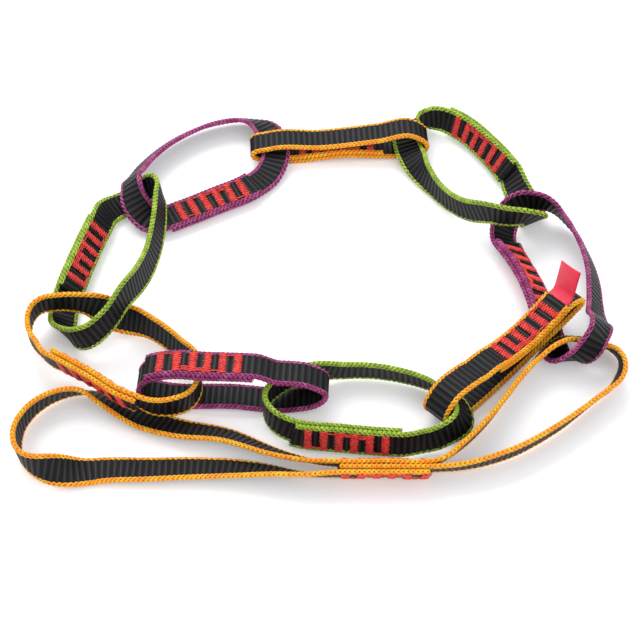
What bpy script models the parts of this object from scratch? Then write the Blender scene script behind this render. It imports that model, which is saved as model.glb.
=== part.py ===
"""A climbing daisy chain: one long tie-in loop and nine sewn links of flat webbing, each link passed
through the one before it, lying on a table as it was put down.

Every strap is one length of webbing whose ends lie on each other and are held by bar tacks.
A link is drawn from a few hand-chosen stations round its loop. Each link is measured from the point
where it hooks into the link before it, which is also where it turns.
"""
import math

import bmesh
import bpy
import numpy as np
from mathutils import Matrix, Vector

# Webbing
WEBBING_WIDTH = 0.0135
WEBBING_THICKNESS = 0.0020
EDGE_TAPER = 0.0006
LAYER_GAP = 0.0004

# Lengths of the two kinds of strap, each measured along the closed loop when it lies flat
LINK_LENGTH = 0.100
TIE_IN_LENGTH = 0.250
LAP_LENGTH = 0.044
LAP_STEP_LENGTH = 0.011
LONGEST_STEP = 0.006
LARGEST_TURN_DEGREES = 15

# Bar tacks
TACK_COUNT = 6
TACK_PITCH = 0.0063
TACK_WIDTH = 0.0102
TACK_LENGTH = 0.0038
TACK_HEIGHT = 0.0005
STITCH_WIDTH = 0.0062
STITCH_LENGTH = 0.0014
JUMP_WIDTH = 0.0016
THREAD_GAP = 0.0003

# Label tab on the end link
LABEL_WIDTH = 0.0105
LABEL_LENGTH = 0.0185
LABEL_BEND_LENGTH = 0.006
LABEL_THICKNESS = 0.0005
LABEL_RISE_DEGREES = 62
LABEL_STEP_COUNT = 8

CUT_OVERRUN = 0.001
SAMPLES_PER_SPAN = 24
EVEN_STEP = 0.0005
STANDING_EASING = 40
LYING_EASING = 8
LAYER_PITCH = WEBBING_THICKNESS + LAYER_GAP
TACK_PROUD = THREAD_GAP + TACK_HEIGHT
HOOK_HEIGHT = WEBBING_WIDTH / 2

# Stations of the links that stand on an edge, counterclockwise seen from above. Each is: place along X and
# along Y in link lengths from the link's hook, webbing layers that it passes over, further rise in webbing
# widths, and how far the upper edge leans towards the inside of the link, in degrees.
LINK_1_SHARES = [
    (-0.12, 0.08, 0, 0, -78), (-0.105, -0.01, 0, 0, -85), (-0.08, -0.055, 0, 0, -65), (-0.035, -0.08, 0, 0.06, -18),
    (0.015, -0.08, 0, 0.4, 12), (0.048, -0.045, 0, 0.87, 32), (0.07, 0.02, 0, 0.94, 48), (0.078, 0.09, 0, 0.6, 50),
    (0.08, 0.16, 0, 0.15, 45), (0.082, 0.25, 0, 0, 36), (0.086, 0.43, 0, 0, 30), (0.054, 0.61, 0, 0, 26),
    (0.003, 0.745, 0, 0.08, 26), (-0.062, 0.80, 0, 0.36, 22), (-0.147, 0.815, 0, 0.5, 5), (-0.238, 0.807, 0, 0.29, -28),
    (-0.285, 0.73, 0, 0.03, -62), (-0.29, 0.65, 0, 0, -68), (-0.268, 0.57, 0, 0, -58), (-0.238, 0.49, 0, 0, -52),
    (-0.205, 0.40, 0, 0, -52), (-0.172, 0.283, 0, 0, -55), (-0.145, 0.18, 0, 0, -66),
]
LINK_2_SHARES = [
    (0.03, 0.06, 0, 0, -76), (-0.005, 0.16, 0, 0, -62), (-0.06, 0.28, 0, 0, -38), (-0.15, 0.43, 0, 0, -25),
    (-0.27, 0.58, 0, 0, -18), (-0.39, 0.65, 0, 0, -8), (-0.478, 0.648, 0, 0, 40), (-0.518, 0.57, 1, 0.02, 72),
    (-0.515, 0.48, 1, 0.02, 78), (-0.495, 0.39, 1, 0.02, 70), (-0.46, 0.29, 0, 0, 30), (-0.38, 0.14, 0, 0, 0),
    (-0.28, 0.01, 1, 0, -5), (-0.15, -0.09, 1, 0.49, -5), (-0.04, -0.11, 1, 0.49, -10), (0.028, -0.092, 1, 0.34, -30),
    (0.045, -0.015, 0, 0, -66),
]
LINK_4_SHARES = [
    (0.04, -0.11, 1, 0.08, 88), (0.035, 0, 1, 0.1, 89), (0, 0.09, 1, 0.06, 86), (-0.09, 0.15, 0, 0, 50),
    (-0.25, 0.13, 0, 0, 45), (-0.39, 0.05, 0, 0, 45), (-0.52, -0.08, 0, 0, 42), (-0.60, -0.22, 0, 0.05, 42),
    (-0.62, -0.35, 1, 0.32, 45), (-0.59, -0.46, 1, 0.12, 62), (-0.50, -0.52, 0, 0, 80), (-0.38, -0.47, 0, 0, 80),
    (-0.22, -0.38, 0, 0, 78), (-0.08, -0.30, 0, 0, 75), (0, -0.21, 0, 0.03, 78),
]
LINK_5_SHARES = [
    (0.115, -0.10, 2, 0.25, 18), (0.10, 0.01, 2, 0.2, 2), (0.05, 0.045, 1, 0.1, -35), (-0.01, 0.035, 0, 0, -64),
    (-0.07, 0.01, 0, 0, -76),
    (-0.135, -0.06, 0, 0, -52), (-0.178, -0.19, 0, 0, -42), (-0.228, -0.387, 0, 0, -42), (-0.268, -0.58, 0, 0, -50),
    (-0.28, -0.69, 0, 0, -68), (-0.265, -0.80, 0, 0.03, -40), (-0.215, -0.87, 0, 0.15, -5), (-0.15, -0.885, 1, 0.2, 8),
    (-0.069, -0.83, 2, 0.3, 12), (-0.005, -0.71, 3, 0.3, 14), (0.055, -0.557, 2, 0.2, 16), (0.093, -0.397, 1, 0.2, 18),
    (0.114, -0.24, 1, 0.35, 20),
]
LINK_6_SHARES = [
    (0.525, -0.41, 1, 0, 0), (0.51, -0.30, 1, 0.02, -5), (0.44, -0.205, 0, 0, -8), (0.365, -0.125, 0, 0, -8),
    (0.30, -0.073, 0, 0, -10), (0.235, -0.035, 0, 0, -28), (0.17, -0.008, 0, 0, -52), (0.10, 0.008, 1, 0, -30),
    (0.02, 0.01, 2, 0.1, 0), (-0.094, 0.005, 2, 0.2, 10), (-0.174, -0.01, 2, 0.2, 12), (-0.215, -0.06, 1, 0.25, 5),
    (-0.208, -0.15, 0, 0.3, -5), (-0.145, -0.245, 0, 0.3, -12), (-0.055, -0.305, 0, 0.36, -18), (0.09, -0.408, 0, 0.44, -20),
    (0.248, -0.522, 0, 0.44, -20), (0.33, -0.55, 0, 0.3, -12), (0.42, -0.545, 1, 0.1, -6), (0.495, -0.495, 1, 0, -3),
]
LINK_8_SHARES = [
    (-0.08, -0.12, 1, 0, 5), (0.03, -0.155, 0, 0, 6), (0.16, -0.17, 0, 0, 8), (0.42, -0.195, 0, 0, 8),
    (0.54, -0.195, 0, 0, 8), (0.635, -0.165, 1, 0, 14), (0.695, -0.085, 1, 0.02, 38), (0.665, 0.015, 1, 0.09, 40),
    (0.57, 0.10, 0, 0, 20), (0.42, 0.16, 0, 0, 16), (0.21, 0.18, 0, 0, 12), (0.05, 0.145, 1, 0.03, 5),
    (-0.07, 0.08, 1, 0.03, 0), (-0.13, -0.02, 1, 0.03, 0),
]

# Points of the links that lie on one wall, as a side view: place along the link in link lengths from its
# hook, webbing layers below, and further height in webbing widths.
LINK_3_SIDE_SHARES = [
    (-0.75, 0, 0), (-0.40, 0, 0.06), (-0.10, 0, 0.06), (-0.005, 1, 0.18), (-0.07, 2, 0.54), (-0.24, 2, 0.39),
    (-0.50, 2, 0.19), (-0.75, 2, 0.2), (-0.835, 1, 0.12),
]
LINK_7_SIDE_SHARES = [
    (-0.02, 0, 0.06), (0.28, 0, 0.06), (0.54, 0, 0.02), (0.65, 1, 0.17), (0.68, 1, 0.56), (0.62, 1, 0.96),
    (0.46, 1, 1.11), (0.18, 1, 1.13), (0.01, 1, 1.1), (-0.08, 1, 0.78), (-0.105, 1, 0.4), (-0.08, 0, 0.22),
]
LINK_9_SIDE_SHARES = [
    (0.13, 0, 0.02), (0.28, 0, 0.17), (0.46, 0, 0.42), (0.60, 0, 0.64), (0.72, 0, 0.84), (0.78, 0, 1.04),
    (0.72, 0, 1.24), (0.60, 0, 1.0), (0.46, 0, 0.76), (0.28, 0, 0.8), (0.09, 0, 1.23), (-0.045, 0, 1.15),
    (-0.09, 0, 0.6), (-0.04, 0, 0.12),
]

# Stations of the tie-in loop, as above but in tie-in lengths from link 1's hook, with a last number: how many
# layers the strap lies in front of the sewn centre's back layer. The strap starts at the middle layer's
# cut end, runs round the right lobe, back through the centre and round the left lobe, where it makes half a
# turn in the near wall.
TIE_IN_SHARES = [
    (-0.416, -0.25, 0, 0, -30, 1), (-0.344, -0.25, 0, 0, -30, 1), (-0.272, -0.25, 0, 0, -30, 1),
    (-0.225, -0.258, 0, 0, -28, 0), (-0.143, -0.233, 0, 0, -21, 0), (-0.057, -0.178, 0, 0, -20, 0),
    (0.022, -0.108, 0, 0, -26, 0), (0.05, -0.083, 0, 0, -24, 0), (0.062, -0.05, 0, 0, -11, 0),
    (0.06, -0.019, 0, 0, 22, 0), (0.034, 0.006, 0, 0, 43, 0), (0, 0.018, 0, 0, 50, 0),
    (-0.032, 0.007, 1, 0.08, 45, 0), (-0.06, -0.016, 1, 0.08, 34, 0), (-0.09, -0.045, 0, 0, 22, 0),
    (-0.13, -0.101, 0, 0, 18, 0), (-0.176, -0.169, 0, 0, 18, 0), (-0.222, -0.22, 0, 0, 22, 0),
    (-0.238, -0.234, 0, 0, 27, 0), (-0.252, -0.246, 0, 0, 30, 0), (-0.268, -0.25, 0, 0, 30, 0),
    (-0.344, -0.25, 0, 0, 30, 0), (-0.425, -0.25, 0, 0, 30, 0),
    (-0.46, -0.246, 0, 0, 36, 0), (-0.513, -0.23, 0, 0, 45, 0), (-0.613, -0.184, 0, 0, 62, 0),
    (-0.68, -0.17, 0, 0, 72, 0), (-0.74, -0.146, 0, 0, 80, 0), (-0.80, -0.116, 0, 0, 62, 0),
    (-0.85, -0.099, 0, 0, 32, 0), (-0.911, -0.125, 0, 0, 14, 0), (-0.939, -0.165, 0, 0, 2, 0),
    (-0.945, -0.2, 0, 0, -8, 0), (-0.935, -0.238, 0, 0, -10, 0), (-0.91, -0.258, 0, 0, 5, 0),
    (-0.87, -0.262, 0, 0, 50, 0), (-0.82, -0.252, 0, 0, 90, 0), (-0.725, -0.251, 0, 0, 99, 0),
    (-0.643, -0.25, 0, 0, 104, 0), (-0.578, -0.254, 0, 0, 113, 0), (-0.529, -0.262, 0, 0, 127, 0),
    (-0.48, -0.272, 0, 0, 141, 0), (-0.416, -0.25, 0, 0, 150, 2), (-0.344, -0.25, 0, 0, 150, 2),
    (-0.272, -0.25, 0, 0, 150, 2),
]
TIE_IN_BACK_LAYER_MIDDLE = 21

# Colours
ORANGE = (0.90, 0.34, 0.02, 1.0)
GREEN = (0.34, 0.54, 0.06, 1.0)
PURPLE = (0.27, 0.03, 0.14, 1.0)
THREAD_RED = (0.68, 0.04, 0.03, 1.0)
LABEL_RED = (0.75, 0.01, 0.04, 1.0)


# Each link in chain order: its stations, the heading of a link that lies on one wall (None for one that
# stands), where it hooks in, from the hook of the link before it in link lengths, the station at the middle
# of its lap, whether the second layer of the lap lies outside (1) or inside (-1) the loop, whether the
# strap's first pass is the layer that steps aside, and the colour of its edges.
LINKS = [
    ("link_1", LINK_1_SHARES, None, (0, 0), 19.9, -1, True, PURPLE),
    ("link_2", LINK_2_SHARES, None, (-0.19, 0.80), 3.2, 1, False, GREEN),
    ("link_3", LINK_3_SIDE_SHARES, 3, (-0.42, 0.51), 0.9, -1, False, ORANGE),
    ("link_4", LINK_4_SHARES, None, (-0.76, -0.01), 11.8, 1, False, PURPLE),
    ("link_5", LINK_5_SHARES, None, (-0.59, -0.41), 6.85, -1, False, GREEN),
    ("link_6", LINK_6_SHARES, None, (-0.19, -0.71), 15.05, 1, False, ORANGE),
    ("link_7", LINK_7_SIDE_SHARES, -3, (0.38, -0.405), 7.15, 1, False, PURPLE),
    ("link_8", LINK_8_SHARES, None, (0.55, -0.095), 2.2, 1, True, GREEN),
    ("link_9", LINK_9_SIDE_SHARES, 44.5, (0.64, -0.004), 8, 1, True, ORANGE),
]


def clear_scene():
    for item in list(bpy.data.objects):
        bpy.data.objects.remove(item, do_unlink=True)


def material(name, colour, roughness):
    """A plain Principled material in the piece's main colour."""
    made = bpy.data.materials.new(name)
    made.use_nodes = True
    made.diffuse_color = colour
    shader = made.node_tree.nodes["Principled BSDF"]
    shader.inputs["Base Color"].default_value = colour
    shader.inputs["Roughness"].default_value = roughness
    return made


def chords(points, closed):
    following = np.roll(points, -1, axis=0) if closed else points[1:]
    return np.linalg.norm(following - points[: len(following)], axis=1)


def smooth_tangents(points, closed):
    """Slope at each station, so that the curve through them bends evenly."""
    spans = chords(points, closed)
    tangents = np.zeros_like(points)
    for i in range(len(points)):
        if not closed and i == 0:
            tangents[i] = (points[1] - points[0]) / spans[0]
        elif not closed and i == len(points) - 1:
            tangents[i] = (points[-1] - points[-2]) / spans[-1]
        else:
            before = (points[i] - points[i - 1]) / spans[i - 1]
            after = (points[(i + 1) % len(points)] - points[i]) / spans[i]
            tangents[i] = unit(before * spans[i] + after * spans[i - 1])
    return tangents


def level_tangents(values, spans, closed):
    """Slope of a height or a lean at each station, flat at its highs and lows so that it never overshoots."""
    tangents = np.zeros(len(values))
    for i in range(len(values)):
        if not closed and i in (0, len(values) - 1):
            continue
        before = (values[i] - values[i - 1]) / spans[i - 1]
        after = (values[(i + 1) % len(values)] - values[i]) / spans[i]
        if before * after > 0:
            tangents[i] = 2 * before * after / (before + after)
    return tangents


def between(a, b, slope_a, slope_b, span, u):
    """Cubic from a to b, u of the way along."""
    rest = 1 - u
    return (
        a * (1 + 2 * u) * rest**2
        + b * (3 - 2 * u) * u**2
        + span * u * rest * (slope_a * rest - slope_b * u)
    )


def dense(points, levels, closed, passes):
    """Many points along the smooth curve through the stations, with their levels (height, lean)."""
    spans = chords(points, closed)
    slopes = smooth_tangents(points, closed)
    level_slopes = [level_tangents(column, spans, closed) for column in levels]
    rows = []
    for i in range(len(spans)):
        j = (i + 1) % len(points)
        for sample in range(SAMPLES_PER_SPAN):
            u = sample / SAMPLES_PER_SPAN
            place = between(points[i], points[j], slopes[i], slopes[j], spans[i], u)
            heights = [
                between(column[i], column[j], slope[i], slope[j], spans[i], u)
                for column, slope in zip(levels, level_slopes)
            ]
            rows.append([*place, *heights])
    last = 0 if closed else -1
    rows.append([*points[last], *(column[last] for column in levels)])
    return evened(np.array(rows), closed, passes)


def evened(rows, closed, passes):
    """The same curve at equal steps and with its bends eased, and where each station lies among the steps."""
    travelled = np.concatenate([[0], np.cumsum(chords(rows[:, :2], False))])
    count = int(travelled[-1] / EVEN_STEP)
    places = np.linspace(0, travelled[-1], count + 1)
    marks = travelled[::SAMPLES_PER_SPAN] / travelled[-1] * count
    steps = np.column_stack([np.interp(places, travelled, column) for column in rows.T])
    if closed:
        steps = steps[:-1]
    for _ in range(passes):
        mean = (np.roll(steps, 1, axis=0) + np.roll(steps, -1, axis=0)) / 2
        if not closed:
            mean[[0, -1]] = steps[[0, -1]]
        steps = (steps + mean) / 2
    return steps[:, :2], steps[:, 2:], marks


def unit(vectors):
    return vectors / np.linalg.norm(vectors, axis=-1)[..., None]


def travel(centres, closed):
    if closed:
        return unit(np.roll(centres, -1, axis=0) - np.roll(centres, 1, axis=0))
    return unit(np.gradient(centres, axis=0))


def square_to(directions, along):
    """The directions with what runs along the strap taken out."""
    return unit(directions - np.sum(directions * along, axis=1)[:, None] * along)


def rise_of(layers, width_share):
    return layers * LAYER_PITCH + width_share * WEBBING_WIDTH


def standing_path(stations, length, closed):
    """Centre line and width direction of a strap that stands on an edge or leans over.

    The strap's lowest edge lies on what is under it, so the height of the centre follows from the lean.
    """
    table = np.array([station[:5] for station in stations], dtype=float)
    in_front = np.array([station[5] if len(station) > 5 else 0 for station in stations])
    plan = table[:, :2] * length
    plan[:, 1] -= in_front * LAYER_PITCH / np.abs(np.cos(np.radians(table[:, 4])))
    rise = rise_of(table[:, 2], table[:, 3])
    plan, levels, marks = dense(plan, [rise, table[:, 4]], closed, STANDING_EASING)
    lean = np.radians(levels[:, 1])
    half_height = np.abs(np.cos(lean)) * WEBBING_WIDTH / 2 + np.abs(np.sin(lean)) * WEBBING_THICKNESS / 2
    centres = np.column_stack([plan, levels[:, 0] + half_height])
    along = travel(centres, closed)
    inward = unit(np.column_stack([-along[:, 1], along[:, 0], np.zeros(len(along))]))
    upward = np.array([0, 0, 1])
    width = np.cos(lean)[:, None] * upward + np.sin(lean)[:, None] * inward
    return measured(centres, along, square_to(width, along), closed, marks)


def lying_path(points, heading_degrees):
    """Centre line and width direction of a link that lies on one wall, drawn from its side view."""
    table = np.array(points, dtype=float)
    heights = rise_of(table[:, 1], table[:, 2]) + WEBBING_THICKNESS / 2
    side, _, marks = dense(np.column_stack([table[:, 0] * LINK_LENGTH, heights]), [], True, LYING_EASING)
    heading = math.radians(heading_degrees)
    forward = np.array([math.cos(heading), math.sin(heading), 0])
    upward = np.array([0, 0, 1])
    centres = side[:, :1] * forward + side[:, 1:] * upward
    along = travel(centres, True)
    width = np.tile(np.array([math.sin(heading), -math.cos(heading), 0]), (len(centres), 1))
    return measured(centres, along, width, True, marks)


def measured(centres, along, width, closed, marks):
    """The path with the distance at which each of its points lies."""
    return {
        "centres": centres,
        "along": along,
        "width": width,
        "distances": np.concatenate([[0], np.cumsum(chords(centres, closed))]),
        "closed": closed,
        "marks": marks,
    }


def frame_at(path, distance):
    """Place, travel direction and width direction at a distance along a path."""
    distances = path["distances"]
    if path["closed"]:
        distance = distance % distances[-1]
    i = int(np.searchsorted(distances, distance, side="right")) - 1
    i = min(max(i, 0), len(distances) - 2)
    j = (i + 1) % len(path["centres"])
    u = (distance - distances[i]) / (distances[i + 1] - distances[i])
    centre, along, width = (
        (1 - u) * path[name][i] + u * path[name][j] for name in ("centres", "along", "width")
    )
    along = unit(along)
    width = unit(width - np.dot(width, along) * along)
    return centre, along, width, np.cross(along, width)


def station_distance(path, station):
    """Distance along the path of a station, which may lie between two of the table's stations."""
    marks = path["marks"]
    place = np.interp(station, range(len(marks)), marks)
    return float(np.interp(place, range(len(path["distances"])), path["distances"]))


def ease(u):
    u = min(max(u, 0), 1)
    return u * u * (3 - 2 * u)


def raised_for_lap(path, middle, side):
    """Lift the strap where it lies on its tacks, and where the lap's second layer would be underneath."""
    length = path["distances"][-1]
    facing = frame_at(path, middle)[3][2]
    lift = TACK_PROUD * abs(facing) + LAYER_PITCH * max(0, -side * facing)
    centres = path["centres"].copy()
    for i, distance in enumerate(path["distances"][:-1]):
        away = abs((distance - middle + length / 2) % length - length / 2)
        centres[i, 2] += lift * ease((LAP_LENGTH / 2 + LAP_STEP_LENGTH - away) / LAP_STEP_LENGTH)
    along = travel(centres, True)
    return measured(centres, along, square_to(path["width"], along), True, path["marks"])


def stepping_distances(place_at, start, end):
    """Distances from start to end, closer together where the strap bends or twists."""
    fine_count = int((end - start) / LONGEST_STEP * SAMPLES_PER_SPAN)
    fine = np.linspace(start, end, fine_count + 1)
    frames = [place_at(distance) for distance in fine]
    kept = [0]
    turned = 0
    for i in range(1, len(fine)):
        for direction in (1, 2):
            cosine = np.dot(frames[i][direction], frames[i - 1][direction])
            turned += math.degrees(math.acos(min(max(cosine, -1), 1)))
        if turned >= LARGEST_TURN_DEGREES or fine[i] - fine[kept[-1]] >= LONGEST_STEP:
            kept.append(i)
            turned = 0
    if kept[-1] != len(fine) - 1:
        if fine[-1] - fine[kept[-1]] < LONGEST_STEP / 2 and len(kept) > 1:
            kept.pop()
        kept.append(len(fine) - 1)
    return [fine[i] for i in kept]


def section(frame):
    """The webbing's cross-section: a flat band with slightly thinner edges."""
    centre, _, width, facing = frame
    corners = []
    for across, through in [(-1, 0), (-1, 1), (1, 1), (1, 0), (1, -1), (-1, -1)]:
        half = WEBBING_WIDTH / 2 - (EDGE_TAPER if through else 0)
        corners.append(centre + across * half * width + through * WEBBING_THICKNESS / 2 * facing)
    return corners


def skin(mesh, outlines):
    """A closed body through outlines with the same number of corners."""
    rings = [[mesh.verts.new(Vector(corner)) for corner in outline] for outline in outlines]
    for ring, following in zip(rings, rings[1:]):
        for i in range(len(ring)):
            j = (i + 1) % len(ring)
            mesh.faces.new((ring[i], ring[j], following[j], following[i]))
    mesh.faces.new(rings[0][::-1])
    mesh.faces.new(rings[-1])


def mesh_object(name, bodies, finish):
    """One object holding the bodies, each given by its outlines."""
    mesh = bmesh.new()
    for outlines in bodies:
        skin(mesh, outlines)
    bmesh.ops.recalc_face_normals(mesh, faces=mesh.faces)
    data = bpy.data.meshes.new(name)
    mesh.to_mesh(data)
    mesh.free()
    made = bpy.data.objects.new(name, data)
    bpy.context.collection.objects.link(made)
    if finish:
        data.materials.append(finish)
    else:
        made.hide_render = True
        made.display_type = "WIRE"
    return made


def combine(target, tool, operation):
    modifier = target.modifiers.new(tool.name, "BOOLEAN")
    modifier.operation = operation
    modifier.solver = "EXACT"
    modifier.object = tool


def block(frame, through, half_width, half_length):
    """Corners of a rectangle at a distance through the webbing, square to it."""
    centre, along, width, facing = frame
    middle = centre + through * facing
    return [
        middle + half_length * along * a + half_width * width * b
        for a, b in [(-1, -1), (1, -1), (1, 1), (-1, 1)]
    ]


def tack_body(frame, half_stack):
    """One bar tack: a bar of stitches on each face and the threads through the layers between them."""
    inner = half_stack + THREAD_GAP
    outer = inner + TACK_HEIGHT
    bar = (TACK_WIDTH / 2, TACK_LENGTH / 2)
    leg = (STITCH_WIDTH / 2, STITCH_LENGTH / 2)
    heights = [(-outer, bar), (-inner, bar), (-inner, leg), (inner, leg), (inner, bar), (outer, bar)]
    return [block(frame, height, *halves) for height, halves in heights]


def jump_body(frame, following, half_stack, face):
    """The thread from one tack to the next, on one face of the stack."""
    outlines = []
    for place in (frame, following):
        centre, _, width, facing = place
        middle = centre + face * (half_stack + THREAD_GAP + TACK_HEIGHT / 2) * facing
        outlines.append([
            middle + JUMP_WIDTH / 2 * width * a + TACK_HEIGHT / 4 * facing * b
            for a, b in [(-1, -1), (1, -1), (1, 1), (-1, 1)]
        ])
    return outlines


def slot_body(frame, half_stack):
    """Room for a tack's threads through the layers."""
    halves = (STITCH_WIDTH / 2 + THREAD_GAP, STITCH_LENGTH / 2 + THREAD_GAP)
    reach = half_stack + CUT_OVERRUN
    return [block(frame, -reach, *halves), block(frame, reach, *halves)]


def sewn_strap(name, place_at, distances, tack_frames, half_stack, finish, thread):
    """A strap and its set of bar tacks. The webbing has a slot wherever threads go through it."""
    webbing = mesh_object(f"{name}_webbing", [[section(place_at(d)) for d in distances]], finish)
    slots = mesh_object(f"{name}_slots", [slot_body(frame, half_stack) for frame in tack_frames], None)
    combine(webbing, slots, "DIFFERENCE")
    tacks = mesh_object(f"{name}_tacks", [tack_body(frame, half_stack) for frame in tack_frames], thread)
    jumps = mesh_object(
        f"{name}_jumps",
        [
            jump_body(frame, following, half_stack, (-1) ** i)
            for i, (frame, following) in enumerate(zip(tack_frames, tack_frames[1:]))
        ],
        None,
    )
    combine(tacks, jumps, "UNION")
    return [webbing, slots, tacks, jumps]


def tack_distances(middle):
    return [middle + (i - (TACK_COUNT - 1) / 2) * TACK_PITCH for i in range(TACK_COUNT)]


def shifted(frame, through):
    centre, along, width, facing = frame
    return centre + through * facing, along, width, facing


def levelled(frame, through):
    """The same place in another layer of a leaning stack whose layers all stand at one height."""
    centre, along, width, facing = frame
    sideways = np.array([facing[0], facing[1], 0])
    sideways = sideways / np.dot(sideways, facing)
    return centre + through * sideways, along, width, sideways


def link_path(stations, heading, middle_station, side):
    if heading is None:
        path = standing_path(stations, LINK_LENGTH, True)
    else:
        path = lying_path(stations, heading)
    middle = station_distance(path, middle_station)
    return raised_for_lap(path, middle, side)


def build_link(name, stations, heading, middle_station, side, first_steps_aside, finish, thread):
    """A link: the strap goes once round from the start of the lap to its end a second time."""
    path = link_path(stations, heading, middle_station, side)
    middle = station_distance(path, middle_station)
    once_round = path["distances"][-1]
    start = middle - LAP_LENGTH / 2

    def place_at(distance):
        since_start = distance - start
        if first_steps_aside:
            aside = 1 - ease((since_start - LAP_LENGTH) / LAP_STEP_LENGTH)
        else:
            aside = ease((since_start - once_round + LAP_STEP_LENGTH) / LAP_STEP_LENGTH)
        return shifted(frame_at(path, distance), side * aside * LAYER_PITCH)

    lap = stepping_distances(place_at, start, start + LAP_LENGTH)
    rest = stepping_distances(place_at, start + LAP_LENGTH, start + once_round)
    distances = lap + rest[1:] + [distance + once_round for distance in lap[1:]]
    tacks = [shifted(frame_at(path, d), side * LAYER_PITCH / 2) for d in tack_distances(middle)]
    pieces = sewn_strap(name, place_at, distances, tacks, LAYER_PITCH / 2 + WEBBING_THICKNESS / 2, finish, thread)
    return pieces, frame_at(path, start)


def build_tie_in(finish, thread):
    """The tie-in loop: one strap that passes three times through its sewn centre."""
    path = standing_path(TIE_IN_SHARES, TIE_IN_LENGTH, False)

    def place_at(distance):
        return frame_at(path, distance)

    middle = station_distance(path, TIE_IN_BACK_LAYER_MIDDLE)
    tacks = [levelled(frame_at(path, d), LAYER_PITCH * -1) for d in tack_distances(middle)]
    distances = stepping_distances(place_at, 0, path["distances"][-1])
    half_stack = LAYER_PITCH + WEBBING_THICKNESS / 2
    return sewn_strap("tie_in", place_at, distances, tacks, half_stack, finish, thread)


def build_label(frame, finish):
    """The woven label: it leaves link 9 beside the outer cut end and bends upwards."""
    centre, along, width, facing = frame
    place = centre + facing * (WEBBING_THICKNESS / 2 + THREAD_GAP + LABEL_THICKNESS / 2) - along * THREAD_GAP
    outlines = []
    travelled = 0
    for i in range(LABEL_STEP_COUNT + 1):
        turn = math.radians(LABEL_RISE_DEGREES) * min(travelled / LABEL_BEND_LENGTH, 1)
        forward = -along * math.cos(turn) + facing * math.sin(turn)
        upward = facing * math.cos(turn) + along * math.sin(turn)
        outlines.append([
            place + LABEL_WIDTH / 2 * width * a + LABEL_THICKNESS / 2 * upward * b
            for a, b in [(-1, -1), (1, -1), (1, 1), (-1, 1)]
        ])
        step = LABEL_LENGTH / LABEL_STEP_COUNT
        place = place + forward * step
        travelled += step
    return mesh_object("label_tab", [outlines], finish)


def empty(name, place, parent):
    made = bpy.data.objects.new(name, None)
    bpy.context.collection.objects.link(made)
    made.empty_display_size = WEBBING_WIDTH
    made.location = place
    made.parent = parent
    return made


def hold(pieces, hook):
    """Let pieces turn with their hook. Their coordinates are measured from the floor under it."""
    for piece in pieces:
        piece.parent = hook
        piece.location = (0, 0, -HOOK_HEIGHT)


def centre_on_floor(root):
    """Shift everything so that the middle of its bounds is over the origin and it stands on the floor."""
    bpy.context.view_layer.update()
    graph = bpy.context.evaluated_depsgraph_get()
    corners = []
    for item in bpy.data.objects:
        if item.type == "MESH" and not item.hide_render:
            solid = item.evaluated_get(graph)
            corners += [item.matrix_world @ vert.co for vert in solid.data.vertices]
    corners = np.array(corners)
    low = corners.min(axis=0)
    high = corners.max(axis=0)
    root.location = (-(low[0] + high[0]) / 2, -(low[1] + high[1]) / 2, root.location[2] - low[2])


def main():
    clear_scene()
    thread = material("tack_thread_red", THREAD_RED, 0.7)
    finishes = {
        ORANGE: material("webbing_orange_edge", ORANGE, 0.85),
        GREEN: material("webbing_green_edge", GREEN, 0.85),
        PURPLE: material("webbing_purple_edge", PURPLE, 0.85),
    }
    root = empty("tie_in_loop", (0, 0, HOOK_HEIGHT), None)
    hold(build_tie_in(finishes[ORANGE], thread), root)
    hook = root
    for name, stations, heading, step, lap, side, first_steps_aside, colour in LINKS:
        place = (step[0] * LINK_LENGTH, step[1] * LINK_LENGTH, 0)
        hook = empty(f"{name}_hook", place, hook)
        pieces, lap_start = build_link(
            name, stations, heading, lap, side, first_steps_aside, finishes[colour], thread
        )
        hold(pieces, hook)
    hold([build_label(lap_start, material("label_red", LABEL_RED, 0.5))], hook)
    centre_on_floor(root)
    bpy.context.view_layer.update()


main()
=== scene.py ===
# %% [markdown]
# # A climbing daisy chain in woven webbing
#
# The chain is nine sewn links of flat webbing and one long tie-in loop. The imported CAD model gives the
# bodies, the joints and the room that each strap fills. This script weaves the straps in that room: ribbed
# black faces, braided coloured edges, red bar tacks and a satin tab.

# %% Load the frame
import math

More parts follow.
